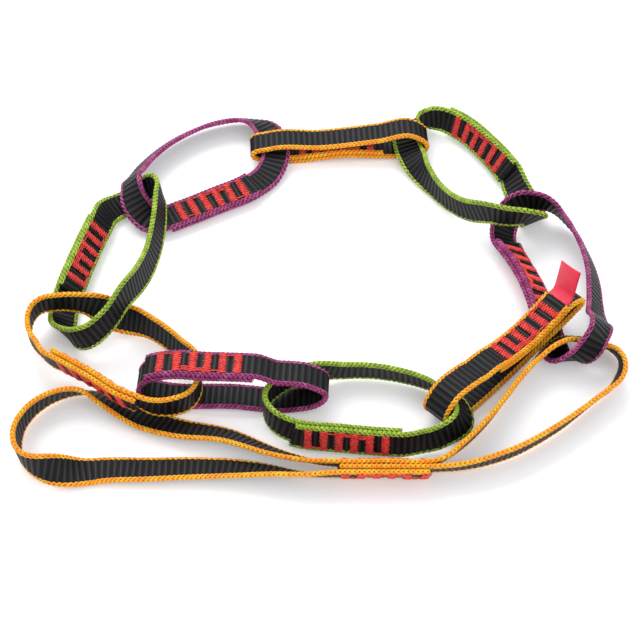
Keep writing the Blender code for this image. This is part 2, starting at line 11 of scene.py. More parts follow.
import bpy
import numpy as np
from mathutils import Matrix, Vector


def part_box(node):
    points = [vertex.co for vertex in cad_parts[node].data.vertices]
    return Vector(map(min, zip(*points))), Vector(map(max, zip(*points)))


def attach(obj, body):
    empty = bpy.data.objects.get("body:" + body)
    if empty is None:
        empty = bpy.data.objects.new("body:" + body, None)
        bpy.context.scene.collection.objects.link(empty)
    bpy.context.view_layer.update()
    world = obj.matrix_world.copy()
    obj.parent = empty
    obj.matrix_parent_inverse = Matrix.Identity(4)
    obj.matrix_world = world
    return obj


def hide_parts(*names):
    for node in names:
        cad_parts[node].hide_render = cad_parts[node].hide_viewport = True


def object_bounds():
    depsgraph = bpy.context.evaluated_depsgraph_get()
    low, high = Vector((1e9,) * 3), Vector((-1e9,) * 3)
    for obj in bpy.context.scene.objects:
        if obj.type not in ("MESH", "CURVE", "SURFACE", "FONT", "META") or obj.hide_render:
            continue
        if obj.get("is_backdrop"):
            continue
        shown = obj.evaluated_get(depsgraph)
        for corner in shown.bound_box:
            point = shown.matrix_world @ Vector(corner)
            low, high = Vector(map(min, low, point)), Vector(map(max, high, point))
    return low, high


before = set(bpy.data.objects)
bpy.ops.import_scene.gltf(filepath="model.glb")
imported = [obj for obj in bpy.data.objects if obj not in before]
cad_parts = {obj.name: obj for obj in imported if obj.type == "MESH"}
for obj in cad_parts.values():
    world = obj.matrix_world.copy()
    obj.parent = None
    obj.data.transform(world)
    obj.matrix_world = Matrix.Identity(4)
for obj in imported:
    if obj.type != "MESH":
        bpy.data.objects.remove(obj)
cad_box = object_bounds()

# %% [markdown]
# ## Sizes of the webbing
#
# Sewn chains are made of narrow nylon tape, here 13.5 mm wide and 2 mm thick. Lengths are in metres and the
# same as in the CAD source, so that every strap lands on its solid.

# %% Sizes of the webbing
WEBBING_WIDTH = 0.0135
WEBBING_THICKNESS = 0.0020
LAYER_GAP = 0.0004
LAYER_PITCH = WEBBING_THICKNESS + LAYER_GAP
LINK_LENGTH = 0.100
TIE_IN_LENGTH = 0.250
LAP_LENGTH = 0.044
LAP_STEP_LENGTH = 0.011
TACK_COUNT = 6
TACK_PITCH = 0.0063
TACK_WIDTH = 0.0102
TACK_LENGTH = 0.0038
TACK_PROUD = 0.0008
THREAD_GAP = 0.0003
print("webbing:", WEBBING_WIDTH * 1000, "mm wide; layers", round(LAYER_PITCH * 1000, 2), "mm apart")

# %% [markdown]
# ## Routes of the standing links
#
# A strap could be bent by a simulation, but this chain lies in one known way, so each route is a short list
# of stations, given one by one. A station is: place along X and along Y in link lengths from the
# link's hook, webbing layers that the strap passes over, further rise in webbing widths, and how far its
# upper edge leans towards the inside of the link, in degrees.

# %% Routes of the standing links
LINK_1_SHARES = [
    (-0.12, 0.08, 0, 0, -78), (-0.105, -0.01, 0, 0, -85), (-0.08, -0.055, 0, 0, -65),
    (-0.035, -0.08, 0, 0.06, -18), (0.015, -0.08, 0, 0.4, 12), (0.048, -0.045, 0, 0.87, 32),
    (0.07, 0.02, 0, 0.94, 48), (0.078, 0.09, 0, 0.6, 50), (0.08, 0.16, 0, 0.15, 45),
    (0.082, 0.25, 0, 0, 36), (0.086, 0.43, 0, 0, 30), (0.054, 0.61, 0, 0, 26),
    (0.003, 0.745, 0, 0.08, 26), (-0.062, 0.80, 0, 0.36, 22), (-0.147, 0.815, 0, 0.5, 5),
    (-0.238, 0.807, 0, 0.29, -28), (-0.285, 0.73, 0, 0.03, -62), (-0.29, 0.65, 0, 0, -68),
    (-0.268, 0.57, 0, 0, -58), (-0.238, 0.49, 0, 0, -52), (-0.205, 0.40, 0, 0, -52),
    (-0.172, 0.283, 0, 0, -55), (-0.145, 0.18, 0, 0, -66),
]
LINK_2_SHARES = [
    (0.03, 0.06, 0, 0, -76), (-0.005, 0.16, 0, 0, -62), (-0.06, 0.28, 0, 0, -38),
    (-0.15, 0.43, 0, 0, -25), (-0.27, 0.58, 0, 0, -18), (-0.39, 0.65, 0, 0, -8),
    (-0.478, 0.648, 0, 0, 40), (-0.518, 0.57, 1, 0.02, 72), (-0.515, 0.48, 1, 0.02, 78),
    (-0.495, 0.39, 1, 0.02, 70), (-0.46, 0.29, 0, 0, 30), (-0.38, 0.14, 0, 0, 0), (-0.28, 0.01, 1, 0, -5),
    (-0.15, -0.09, 1, 0.49, -5), (-0.04, -0.11, 1, 0.49, -10), (0.028, -0.092, 1, 0.34, -30),
    (0.045, -0.015, 0, 0, -66),
]
LINK_4_SHARES = [
    (0.04, -0.11, 1, 0.08, 88), (0.035, 0, 1, 0.1, 89), (0, 0.09, 1, 0.06, 86), (-0.09, 0.15, 0, 0, 50),
    (-0.25, 0.13, 0, 0, 45), (-0.39, 0.05, 0, 0, 45), (-0.52, -0.08, 0, 0, 42),
    (-0.60, -0.22, 0, 0.05, 42), (-0.62, -0.35, 1, 0.32, 45), (-0.59, -0.46, 1, 0.12, 62),
    (-0.50, -0.52, 0, 0, 80), (-0.38, -0.47, 0, 0, 80), (-0.22, -0.38, 0, 0, 78),
    (-0.08, -0.30, 0, 0, 75), (0, -0.21, 0, 0.03, 78),
]
LINK_5_SHARES = [
    (0.115, -0.10, 2, 0.25, 18), (0.10, 0.01, 2, 0.2, 2), (0.05, 0.045, 1, 0.1, -35),
    (-0.01, 0.035, 0, 0, -64), (-0.07, 0.01, 0, 0, -76), (-0.135, -0.06, 0, 0, -52),
    (-0.178, -0.19, 0, 0, -42), (-0.228, -0.387, 0, 0, -42), (-0.268, -0.58, 0, 0, -50),
    (-0.28, -0.69, 0, 0, -68), (-0.265, -0.80, 0, 0.03, -40), (-0.215, -0.87, 0, 0.15, -5),
    (-0.15, -0.885, 1, 0.2, 8), (-0.069, -0.83, 2, 0.3, 12), (-0.005, -0.71, 3, 0.3, 14),
    (0.055, -0.557, 2, 0.2, 16), (0.093, -0.397, 1, 0.2, 18), (0.114, -0.24, 1, 0.35, 20),
]
LINK_6_SHARES = [
    (0.525, -0.41, 1, 0, 0), (0.51, -0.30, 1, 0.02, -5), (0.44, -0.205, 0, 0, -8),
    (0.365, -0.125, 0, 0, -8), (0.30, -0.073, 0, 0, -10), (0.235, -0.035, 0, 0, -28),
    (0.17, -0.008, 0, 0, -52), (0.10, 0.008, 1, 0, -30), (0.02, 0.01, 2, 0.1, 0),
    (-0.094, 0.005, 2, 0.2, 10), (-0.174, -0.01, 2, 0.2, 12), (-0.215, -0.06, 1, 0.25, 5),
    (-0.208, -0.15, 0, 0.3, -5), (-0.145, -0.245, 0, 0.3, -12), (-0.055, -0.305, 0, 0.36, -18),
    (0.09, -0.408, 0, 0.44, -20), (0.248, -0.522, 0, 0.44, -20), (0.33, -0.55, 0, 0.3, -12),
    (0.42, -0.545, 1, 0.1, -6), (0.495, -0.495, 1, 0, -3),
]
LINK_8_SHARES = [
    (-0.08, -0.12, 1, 0, 5), (0.03, -0.155, 0, 0, 6), (0.16, -0.17, 0, 0, 8), (0.42, -0.195, 0, 0, 8),
    (0.54, -0.195, 0, 0, 8), (0.635, -0.165, 1, 0, 14), (0.695, -0.085, 1, 0.02, 38),
    (0.665, 0.015, 1, 0.09, 40), (0.57, 0.10, 0, 0, 20), (0.42, 0.16, 0, 0, 16), (0.21, 0.18, 0, 0, 12),
    (0.05, 0.145, 1, 0.03, 5), (-0.07, 0.08, 1, 0.03, 0), (-0.13, -0.02, 1, 0.03, 0),
]
standing = (LINK_1_SHARES, LINK_2_SHARES, LINK_4_SHARES, LINK_5_SHARES, LINK_6_SHARES, LINK_8_SHARES)
print("stations of the standing links:", [len(stations) for stations in standing])

# %% [markdown]
# ## Routes of the links that lie on one wall
#
# Three links have fallen over. Such a link is simplest to draw as a side view, because its strap only rises
# and falls: place along the link in link lengths from its hook, webbing layers below, and further height in
# webbing widths.

# %% Routes of the links that lie on one wall
LINK_3_SIDE_SHARES = [
    (-0.75, 0, 0), (-0.40, 0, 0.06), (-0.10, 0, 0.06), (-0.005, 1, 0.18), (-0.07, 2, 0.54),
    (-0.24, 2, 0.39), (-0.50, 2, 0.19), (-0.75, 2, 0.2), (-0.835, 1, 0.12),
]
LINK_7_SIDE_SHARES = [
    (-0.02, 0, 0.06), (0.28, 0, 0.06), (0.54, 0, 0.02), (0.65, 1, 0.17), (0.68, 1, 0.56), (0.62, 1, 0.96),
    (0.46, 1, 1.11), (0.18, 1, 1.13), (0.01, 1, 1.1), (-0.08, 1, 0.78), (-0.105, 1, 0.4),
    (-0.08, 0, 0.22),
]
LINK_9_SIDE_SHARES = [
    (0.13, 0, 0.02), (0.28, 0, 0.17), (0.46, 0, 0.42), (0.60, 0, 0.64), (0.72, 0, 0.84), (0.78, 0, 1.04),
    (0.72, 0, 1.24), (0.60, 0, 1.0), (0.46, 0, 0.76), (0.28, 0, 0.8), (0.09, 0, 1.23), (-0.045, 0, 1.15),
    (-0.09, 0, 0.6), (-0.04, 0, 0.12),
]
lying = (LINK_3_SIDE_SHARES, LINK_7_SIDE_SHARES, LINK_9_SIDE_SHARES)
print("stations of the lying links:", [len(stations) for stations in lying])

# %% [markdown]
# ## Route of the tie-in loop
#
# The tie-in loop is one strap that passes its sewn centre three times. Its stations are as those of a
# standing link, but in tie-in lengths from link 1's hook, with a last number: how many layers the strap
# lies in front of the centre's back layer. The strap starts at the middle layer's cut end, runs round the
# right lobe, back through the centre and round the left lobe, where it makes half a turn in the near wall.

# %% Route of the tie-in loop
TIE_IN_SHARES = [
    (-0.416, -0.25, 0, 0, -30, 1), (-0.344, -0.25, 0, 0, -30, 1), (-0.272, -0.25, 0, 0, -30, 1),
    (-0.225, -0.258, 0, 0, -28, 0), (-0.143, -0.233, 0, 0, -21, 0), (-0.057, -0.178, 0, 0, -20, 0),
    (0.022, -0.108, 0, 0, -26, 0), (0.05, -0.083, 0, 0, -24, 0), (0.062, -0.05, 0, 0, -11, 0),
    (0.06, -0.019, 0, 0, 22, 0), (0.034, 0.006, 0, 0, 43, 0), (0, 0.018, 0, 0, 50, 0),
    (-0.032, 0.007, 1, 0.08, 45, 0), (-0.06, -0.016, 1, 0.08, 34, 0), (-0.09, -0.045, 0, 0, 22, 0),
    (-0.13, -0.101, 0, 0, 18, 0), (-0.176, -0.169, 0, 0, 18, 0), (-0.222, -0.22, 0, 0, 22, 0),
    (-0.238, -0.234, 0, 0, 27, 0), (-0.252, -0.246, 0, 0, 30, 0), (-0.268, -0.25, 0, 0, 30, 0),
    (-0.344, -0.25, 0, 0, 30, 0), (-0.425, -0.25, 0, 0, 30, 0), (-0.46, -0.246, 0, 0, 36, 0),
    (-0.513, -0.23, 0, 0, 45, 0), (-0.613, -0.184, 0, 0, 62, 0), (-0.68, -0.17, 0, 0, 72, 0),
    (-0.74, -0.146, 0, 0, 80, 0), (-0.80, -0.116, 0, 0, 62, 0), (-0.85, -0.099, 0, 0, 32, 0),
    (-0.911, -0.125, 0, 0, 14, 0), (-0.939, -0.165, 0, 0, 2, 0), (-0.945, -0.2, 0, 0, -8, 0),
    (-0.935, -0.238, 0, 0, -10, 0), (-0.91, -0.258, 0, 0, 5, 0), (-0.87, -0.262, 0, 0, 50, 0),
    (-0.82, -0.252, 0, 0, 90, 0), (-0.725, -0.251, 0, 0, 99, 0), (-0.643, -0.25, 0, 0, 104, 0),
    (-0.578, -0.254, 0, 0, 113, 0), (-0.529, -0.262, 0, 0, 127, 0), (-0.48, -0.272, 0, 0, 141, 0),
    (-0.416, -0.25, 0, 0, 150, 2), (-0.344, -0.25, 0, 0, 150, 2), (-0.272, -0.25, 0, 0, 150, 2),
]
TIE_IN_BACK_LAYER_MIDDLE = 21
print("stations of the tie-in loop:", len(TIE_IN_SHARES))

# %% [markdown]
# ## The chain's order
#
# Each link hangs in the one before it. A row gives its name and stations, the heading of a link that lies on
# one wall (None for one that stands), its hook's place from the hook before it in link lengths, the station
# at the middle of its lap, whether the lap's second layer lies outside (1) or inside (-1) the loop, whether
# the strap's first pass is the layer that steps aside, and the colour of its edges.

# %% The chain's order
LINKS = [
    ("link_1", LINK_1_SHARES, None, (0, 0), 19.9, -1, True, "purple"),
    ("link_2", LINK_2_SHARES, None, (-0.19, 0.80), 3.2, 1, False, "green"),
    ("link_3", LINK_3_SIDE_SHARES, 3, (-0.42, 0.51), 0.9, -1, False, "orange"),
    ("link_4", LINK_4_SHARES, None, (-0.76, -0.01), 11.8, 1, False, "purple"),
    ("link_5", LINK_5_SHARES, None, (-0.59, -0.41), 6.85, -1, False, "green"),
    ("link_6", LINK_6_SHARES, None, (-0.19, -0.71), 15.05, 1, False, "orange"),
    ("link_7", LINK_7_SIDE_SHARES, -3, (0.38, -0.405), 7.15, 1, False, "purple"),
    ("link_8", LINK_8_SHARES, None, (0.55, -0.095), 2.2, 1, True, "green"),
    ("link_9", LINK_9_SIDE_SHARES, 44.5, (0.64, -0.004), 8, 1, True, "orange"),
]
print("chain:", ", ".join(f"{link[0]} {link[-1]}" for link in LINKS))

# %% [markdown]
# ## From stations to a curve
#
# A cubic runs through the stations. In plan its slopes bend evenly. In height and lean they are flat at each
# high and low, because a curve that overshoots there would push a strap through the floor or a neighbour.

# %% From stations to a curve
def unit(vectors):
    """The same directions, each of length 1."""
    return vectors / np.linalg.norm(vectors, axis=-1)[..., None]


def chords(points, closed):
    """Distance from each point to the next."""
    following = np.roll(points, -1, axis=0) if closed else points[1:]
    return np.linalg.norm(following - points[: len(following)], axis=1)


def smooth_tangents(points, closed):
    """Slope at each station, so that the curve through them bends evenly."""
    spans = chords(points, closed)
    tangents = np.zeros_like(points)
    for i in range(len(points)):
        if not closed and i == 0:
            tangents[i] = (points[1] - points[0]) / spans[0]
        elif not closed and i == len(points) - 1:
            tangents[i] = (points[-1] - points[-2]) / spans[-1]
        else:
            before = (points[i] - points[i - 1]) / spans[i - 1]
            after = (points[(i + 1) % len(points)] - points[i]) / spans[i]
            tangents[i] = unit(before * spans[i] + after * spans[i - 1])
    return tangents


def level_tangents(values, spans, closed):
    """Slope of a height or a lean at each station, flat at its highs and lows so that it never overshoots."""
    tangents = np.zeros(len(values))
    for i in range(len(values)):
        if not closed and i in (0, len(values) - 1):
            continue
        before = (values[i] - values[i - 1]) / spans[i - 1]
        after = (values[(i + 1) % len(values)] - values[i]) / spans[i]
        if before * after > 0:
            tangents[i] = 2 * before * after / (before + after)
    return tangents


def between(a, b, slope_a, slope_b, span, u):
    """Cubic from a to b, u of the way along."""
    rest = 1 - u
    return (
        a * (1 + 2 * u) * rest**2
        + b * (3 - 2 * u) * u**2
        + span * u * rest * (slope_a * rest - slope_b * u)
    )


print("half way up a smooth step:", between(0, 1, 0, 0, 1, 0.5))

# %% [markdown]
# ## Equal steps
#
# Ribs and stitches need equal distances, so the curve is cut into equal steps. Stiff tape has no sharp
# bends, so each point is then drawn towards the middle of its neighbours a number of times.

# %% Equal steps
SAMPLES_PER_SPAN = 24
EVEN_STEP = 0.0005
STANDING_EASING = 40
LYING_EASING = 8


def evened(rows, closed, passes):
    """The same curve at equal steps and with its bends eased, and where each station lies among the steps."""
    travelled = np.concatenate([[0], np.cumsum(chords(rows[:, :2], False))])
    count = int(travelled[-1] / EVEN_STEP)
    places = np.linspace(0, travelled[-1], count + 1)
    marks = travelled[::SAMPLES_PER_SPAN] / travelled[-1] * count
    steps = np.column_stack([np.interp(places, travelled, column) for column in rows.T])
    if closed:
        steps = steps[:-1]
    for _ in range(passes):
        mean = (np.roll(steps, 1, axis=0) + np.roll(steps, -1, axis=0)) / 2
        if not closed:
            mean[[0, -1]] = steps[[0, -1]]
        steps = (steps + mean) / 2
    return steps[:, :2], steps[:, 2:], marks


def dense(points, levels, closed, passes):
    """Many points along the smooth curve through the stations, with their levels (height, lean)."""
    spans = chords(points, closed)
    slopes = smooth_tangents(points, closed)
    level_slopes = [level_tangents(column, spans, closed) for column in levels]
    rows = []
    for i in range(len(spans)):
        j = (i + 1) % len(points)
        for sample in range(SAMPLES_PER_SPAN):
            u = sample / SAMPLES_PER_SPAN
            place = between(points[i], points[j], slopes[i], slopes[j], spans[i], u)
            heights = [
                between(column[i], column[j], slope[i], slope[j], spans[i], u)
                for column, slope in zip(levels, level_slopes)
            ]
            rows.append([*place, *heights])
    last = 0 if closed else -1
    rows.append([*points[last], *(column[last] for column in levels)])
    return evened(np.array(rows), closed, passes)


print("step along a strap:", EVEN_STEP * 1000, "mm")

# %% [markdown]
# ## Travel, width and facing
#
# At every step a strap has a direction of travel and a width direction, and their cross product faces out
# of it. On a standing strap the width leans from upright towards the inside of the loop.

# %% Travel, width and facing
def travel(centres, closed):
    """The direction in which the strap runs at each point."""
    if closed:
        return unit(np.roll(centres, -1, axis=0) - np.roll(centres, 1, axis=0))
    return unit(np.gradient(centres, axis=0))


def square_to(directions, along):
    """The directions with what runs along the strap taken out."""
    return unit(directions - np.sum(directions * along, axis=1)[:, None] * along)


def rise_of(layers, width_share):
    """Height over the floor of a strap that lies on layers and stands up further."""
    return layers * LAYER_PITCH + width_share * WEBBING_WIDTH


def measured(centres, along, width, closed, marks):
    """The path with the distance at which each of its points lies."""
    return {
        "centres": centres,
        "along": along,
        "width": width,
        "distances": np.concatenate([[0], np.cumsum(chords(centres, closed))]),
        "closed": closed,
        "marks": marks,
    }


def standing_path(stations, length, closed):
    """Centre line and width direction of a strap that stands on an edge or leans over.

    The strap's lowest edge lies on what is under it, so the height of the centre follows from the lean.
    """
    table = np.array([station[:5] for station in stations], dtype=float)
    in_front = np.array([station[5] if len(station) > 5 else 0 for station in stations])
    plan = table[:, :2] * length
    plan[:, 1] -= in_front * LAYER_PITCH / np.abs(np.cos(np.radians(table[:, 4])))
    rise = rise_of(table[:, 2], table[:, 3])
    plan, levels, marks = dense(plan, [rise, table[:, 4]], closed, STANDING_EASING)
    lean = np.radians(levels[:, 1])
    half_height = np.abs(np.cos(lean)) * WEBBING_WIDTH / 2 + np.abs(np.sin(lean)) * WEBBING_THICKNESS / 2
    centres = np.column_stack([plan, levels[:, 0] + half_height])
    along = travel(centres, closed)
    inward = unit(np.column_stack([-along[:, 1], along[:, 0], np.zeros(len(along))]))
    upward = np.array([0, 0, 1])
    width = np.cos(lean)[:, None] * upward + np.sin(lean)[:, None] * inward
    return measured(centres, along, square_to(width, along), closed, marks)


trial = standing_path(LINK_2_SHARES, LINK_LENGTH, True)
print("a standing link is", round(trial["distances"][-1] * 1000), "mm round")

# %% [markdown]
# ## Paths of the links that lie on one wall
#
# Here the width direction is level and square to the link's heading, and only the travel turns. The same
# helpers serve: the side view takes the place of the plan.

# %% Paths of the links that lie on one wall
def lying_path(points, heading_degrees):
    """Centre line and width direction of a link that lies on one wall, drawn from its side view."""
    table = np.array(points, dtype=float)
    heights = rise_of(table[:, 1], table[:, 2]) + WEBBING_THICKNESS / 2
    side, _, marks = dense(np.column_stack([table[:, 0] * LINK_LENGTH, heights]), [], True, LYING_EASING)
    heading = math.radians(heading_degrees)
    forward = np.array([math.cos(heading), math.sin(heading), 0])
    upward = np.array([0, 0, 1])
    centres = side[:, :1] * forward + side[:, 1:] * upward
    along = travel(centres, True)
    width = np.tile(np.array([math.sin(heading), -math.cos(heading), 0]), (len(centres), 1))
    return measured(centres, along, width, True, marks)


trial = lying_path(LINK_7_SIDE_SHARES, 0)
print("a lying link is", round(trial["distances"][-1] * 1000), "mm round")

# %% [markdown]
# ## Places along a path
#
# Everything on a strap is placed by its distance along the strap, as tape is measured before sewing. Arrays
# of distances go in and arrays of frames come out, which is far quicker than a loop over points.

# %% Places along a path
def ease(u):
    """A smooth step from 0 to 1."""
    u = np.clip(u, 0, 1)
    return u * u * (3 - 2 * u)


def frames_at(path, distances):
    """Centres, travel, width and facing directions at distances along a path, one row each."""
    knots = path["distances"]
    rows = {name: path[name] for name in ("centres", "along", "width")}
    if path["closed"]:
        distances = distances % knots[-1]
        rows = {name: np.vstack([row, row[:1]]) for name, row in rows.items()}
    centre, along, width = (
        np.column_stack([np.interp(distances, knots, column) for column in rows[name].T])
        for name in ("centres", "along", "width")
    )
    along = unit(along)
    width = square_to(width, along)
    return {"centre": centre, "along": along, "width": width, "facing": np.cross(along, width)}


def station_distance(path, station):
    """Distance along a path at which a station lies."""
    marks = path["marks"]
    place = np.interp(station, range(len(marks)), marks)
    return float(np.interp(place, range(len(path["distances"])), path["distances"]))


def moved(rows, through):
    """The same frames, moved through the webbing."""
    return dict(rows, centre=rows["centre"] + np.reshape(through, (-1, 1)) * rows["facing"])


print("points on the trial path:", len(frames_at(trial, np.array([0.0, 0.01]))["centre"]))

# %% [markdown]
# ## The lap of a link
#
# A link is one strap whose ends overlap by 44 mm. Over the lap one of the two layers steps aside by a layer
# and eases back beyond it. A link is kept as a function from distance to frames, because its band, its
# braid and its stitches each need other steps.

# %% The lap of a link
def raised_for_lap(path, middle, side):
    """Lift the strap where it lies on its tacks, and where the lap's second layer would be underneath."""
    length = path["distances"][-1]
    facing = frames_at(path, np.array([middle]))["facing"][0, 2]
    lift = TACK_PROUD * abs(facing) + LAYER_PITCH * max(0, -side * facing)
    away = abs((path["distances"][:-1] - middle + length / 2) % length - length / 2)
    centres = path["centres"].copy()
    centres[:, 2] += lift * ease((LAP_LENGTH / 2 + LAP_STEP_LENGTH - away) / LAP_STEP_LENGTH)
    along = travel(centres, True)
    return measured(centres, along, square_to(path["width"], along), True, path["marks"])


def tack_offsets():
    """Places of the bars along the lap, from its middle."""
    return (np.arange(TACK_COUNT) - (TACK_COUNT - 1) / 2) * TACK_PITCH


def link_strap(stations, heading, middle_station, side, first_steps_aside):
    """A link as a function from distance to frames, with its length and the places of its tacks."""
    if heading is None:
        path = standing_path(stations, LINK_LENGTH, True)
    else:
        path = lying_path(stations, heading)
    middle = station_distance(path, middle_station)
    path = raised_for_lap(path, middle, side)
    middle = station_distance(path, middle_station)
    once_round = path["distances"][-1]
    start = middle - LAP_LENGTH / 2

    def strap(travelled):
        if first_steps_aside:
            aside = 1 - ease((travelled - LAP_LENGTH) / LAP_STEP_LENGTH)
        else:
            aside = ease((travelled - once_round + LAP_STEP_LENGTH) / LAP_STEP_LENGTH)
        return moved(frames_at(path, start + travelled), side * aside * LAYER_PITCH)

    return {
        "frames": strap,
        "length": once_round + LAP_LENGTH,
        "tacks": moved(frames_at(path, middle + tack_offsets()), side * LAYER_PITCH / 2),
        "half_stack": LAYER_PITCH / 2 + WEBBING_THICKNESS / 2,
    }


print("bars of a tack, in mm from the lap's middle:", (tack_offsets() * 1000).round(2).tolist())

# %% [markdown]
# ## The tie-in loop
#
# Its sewn centre leans, but its three layers stand at one height, so the stack is measured level.

# %% The tie-in loop
def tie_in_strap():
    """The tie-in loop, whose strap passes three times through its sewn centre."""
    path = standing_path(TIE_IN_SHARES, TIE_IN_LENGTH, False)
    middle = station_distance(path, TIE_IN_BACK_LAYER_MIDDLE)
    tacks = frames_at(path, middle + tack_offsets())
    sideways = tacks["facing"] * np.array([1, 1, 0])
    sideways = sideways / np.sum(sideways * tacks["facing"], axis=1)[:, None]
    return {
        "frames": lambda travelled: frames_at(path, travelled),
        "length": path["distances"][-1],
        "tacks": moved(dict(tacks, facing=sideways), -LAYER_PITCH),
        "half_stack": LAYER_PITCH + WEBBING_THICKNESS / 2,
    }


straps = {"tie_in": dict(tie_in_strap(), body="tie_in_loop", edge="orange", hook=np.zeros(3))}
print("tie-in loop:", round(straps["tie_in"]["length"], 2), "m of webbing")

# %% [markdown]
# ## All straps on their solids
#
# The CAD model's origin is the middle of its box, which is known only once it is packed. The middle of each
# strap's own bounds is therefore set against its solid's, and the middle value of the ten differences moves
# the whole chain.

# %% All straps on their solids
# The share of its half width over which the plain strap is flat, before its bevelled edge.
FLAT_SHARE = 0.91

hook = np.zeros(3)
for name, stations, heading, step, lap, side, first_steps_aside, edge in LINKS:
    hook = hook + np.array([*step, 0]) * LINK_LENGTH
    made = link_strap(stations, heading, lap, side, first_steps_aside)
    straps[name] = dict(made, body=name, edge=edge, hook=hook)


def outline_middle(strap):
    """Middle of the bounds of a plain strap with bevelled edges."""
    rows = strap["frames"](np.arange(0, strap["length"], EVEN_STEP))
    corners = [(a, 0) for a in (-1, 1)] + [(a * FLAT_SHARE, b) for a in (-1, 1) for b in (-1, 1)]
    points = np.vstack([
        rows["centre"] + a * WEBBING_WIDTH / 2 * rows["width"] + b * WEBBING_THICKNESS / 2 * rows["facing"]
        for a, b in corners
    ])
    return (points.min(0) + points.max(0)) / 2 + strap["hook"]


shifts = []
for name, strap in straps.items():
    low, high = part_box(f"{name}_webbing")
    shifts.append((np.array(low) + np.array(high)) / 2 - outline_middle(strap))
SHIFT = np.median(shifts, axis=0)


def rows_at(strap, distances):
    """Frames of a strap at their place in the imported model."""
    rows = strap["frames"](distances)
    return dict(rows, centre=rows["centre"] + strap["hook"] + SHIFT)


print("straps:", len(straps), "in", round(sum(s["length"] for s in straps.values()), 2), "m of webbing")
print("largest miss from a solid:", round(float(np.abs(np.array(shifts) - SHIFT).max()) * 1000, 2), "mm")

# %% [markdown]
# ## Colours and nodes
#
# A colour is written as in a picture editor, and Blender works in linear light, so one function turns the
# one into the other. A second function adds a node of any kind, with its settings and links.

# %% Colours and nodes
def colour(code):
    """A colour code such as #ff8800 in linear light."""
    parts = [int(code[i : i + 2], 16) / 255 for i in (1, 3, 5)]
    return (*((c / 12.92 if c <= 0.04045 else ((c + 0.055) / 1.055) ** 2.4) for c in parts), 1)


def fill(node, inputs):
    """Give a node's inputs their values or links. A whole node stands for its first output."""
    for socket, value in inputs.items():
        if isinstance(value, bpy.types.Node):
            value = value.outputs[0]
        if isinstance(value, bpy.types.NodeSocket):
            node.id_data.links.new(value, node.inputs[socket])
        else:
            node.inputs[socket].default_value = value
    return node


def add(tree, kind, inputs, **settings):
    """Add a node with its settings and fill its inputs."""
    node = tree.nodes.new(kind)
    for key, value in settings.items():
        setattr(node, key, value)
    return fill(node, inputs)


print("mid grey in linear light:", [round(c, 3) for c in colour("#808080")])

# %% [markdown]
# ## Patterns in millimetres
#
# Yarns lie side by side, which a sine wave draws, and dye and wear are cloudy, which noise draws. The waves
# follow a map that holds the distance along the strap and the place across it in millimetres. The clouds
# follow the object's own space, so that they cross the yarns.

# %% Patterns in millimetres
def strap_map(tree):
    """Distance along and place across a strap, in millimetres."""
    split = add(tree, "ShaderNodeSeparateXYZ", {0: add(tree, "ShaderNodeUVMap", {}, uv_map="strap_mm")})
    return split.outputs[0], split.outputs[1]


def yarns(tree, distance, pitch_mm, start=0.0):
    """Rises and falls between 0 and 1 once in each pitch."""
    turn = {0: distance, 1: 2 * math.pi / pitch_mm, 2: start}
    wave = add(tree, "ShaderNodeMath", {
        0: add(tree, "ShaderNodeMath", turn, operation="MULTIPLY_ADD"),
    }, operation="SINE")
    return add(tree, "ShaderNodeMath", {0: wave, 1: 0.5, 2: 0.5}, operation="MULTIPLY_ADD")


def clouds(tree, per_mm, detail):
    """Cloudy patches, about so many to a millimetre."""
    place = add(tree, "ShaderNodeTexCoord", {}).outputs["Object"]
    return add(tree, "ShaderNodeTexNoise", {"Vector": place, "Scale": per_mm * 1000, "Detail": detail})


def new_material(name):
    """An empty material with its tree and its shader."""
    material = bpy.data.materials.new(name)
    material.use_nodes = True
    return material, material.node_tree, material.node_tree.nodes["Principled BSDF"]


# What all the chain's fibres share: nylon bends light by 1.53, and its loose ends catch it softly.
FIBRE = {"IOR": 1.53, "Sheen Roughness": 0.35}
print("patterns ready; nylon's IOR:", FIBRE["IOR"])

# %% [markdown]
# ## Black webbing
#
# The face is black nylon, woven so tightly that thick weft ribs stand up every 2.6 mm. The grooves are
# painted near black as painted shade, and the ribs' crests painted dull grey as a painted highlight. Handling
# leaves dusty patches a centimetre wide. The real yarns are about 0.3 mm apart, and are drawn at 0.6 mm so
# that they show.
# A picture of webbing could be wrapped round the strap, but it would show its seams and its one lighting.

# %% Black webbing
RIB_PITCH = 0.0026
FACE_YARN_MM = 0.62
LINT_PER_MM = 1.4
WEAR_PER_MM = 0.09
DYED_EDGE_MM = (5.1, 5.3)
# Each edge's tones: main dye; light for dye patches and painted highlights; dark for painted shade and the
# webbing under the braid.
EDGE_COLOURS = {
    "orange": {"main": "#ff9d08", "light": "#ffca24", "dark": "#cc6404"},
    "green": {"main": "#88a922", "light": "#bedb44", "dark": "#486312"},
    "purple": {"main": "#922066", "light": "#c65a98", "dark": "#460b32"},
}


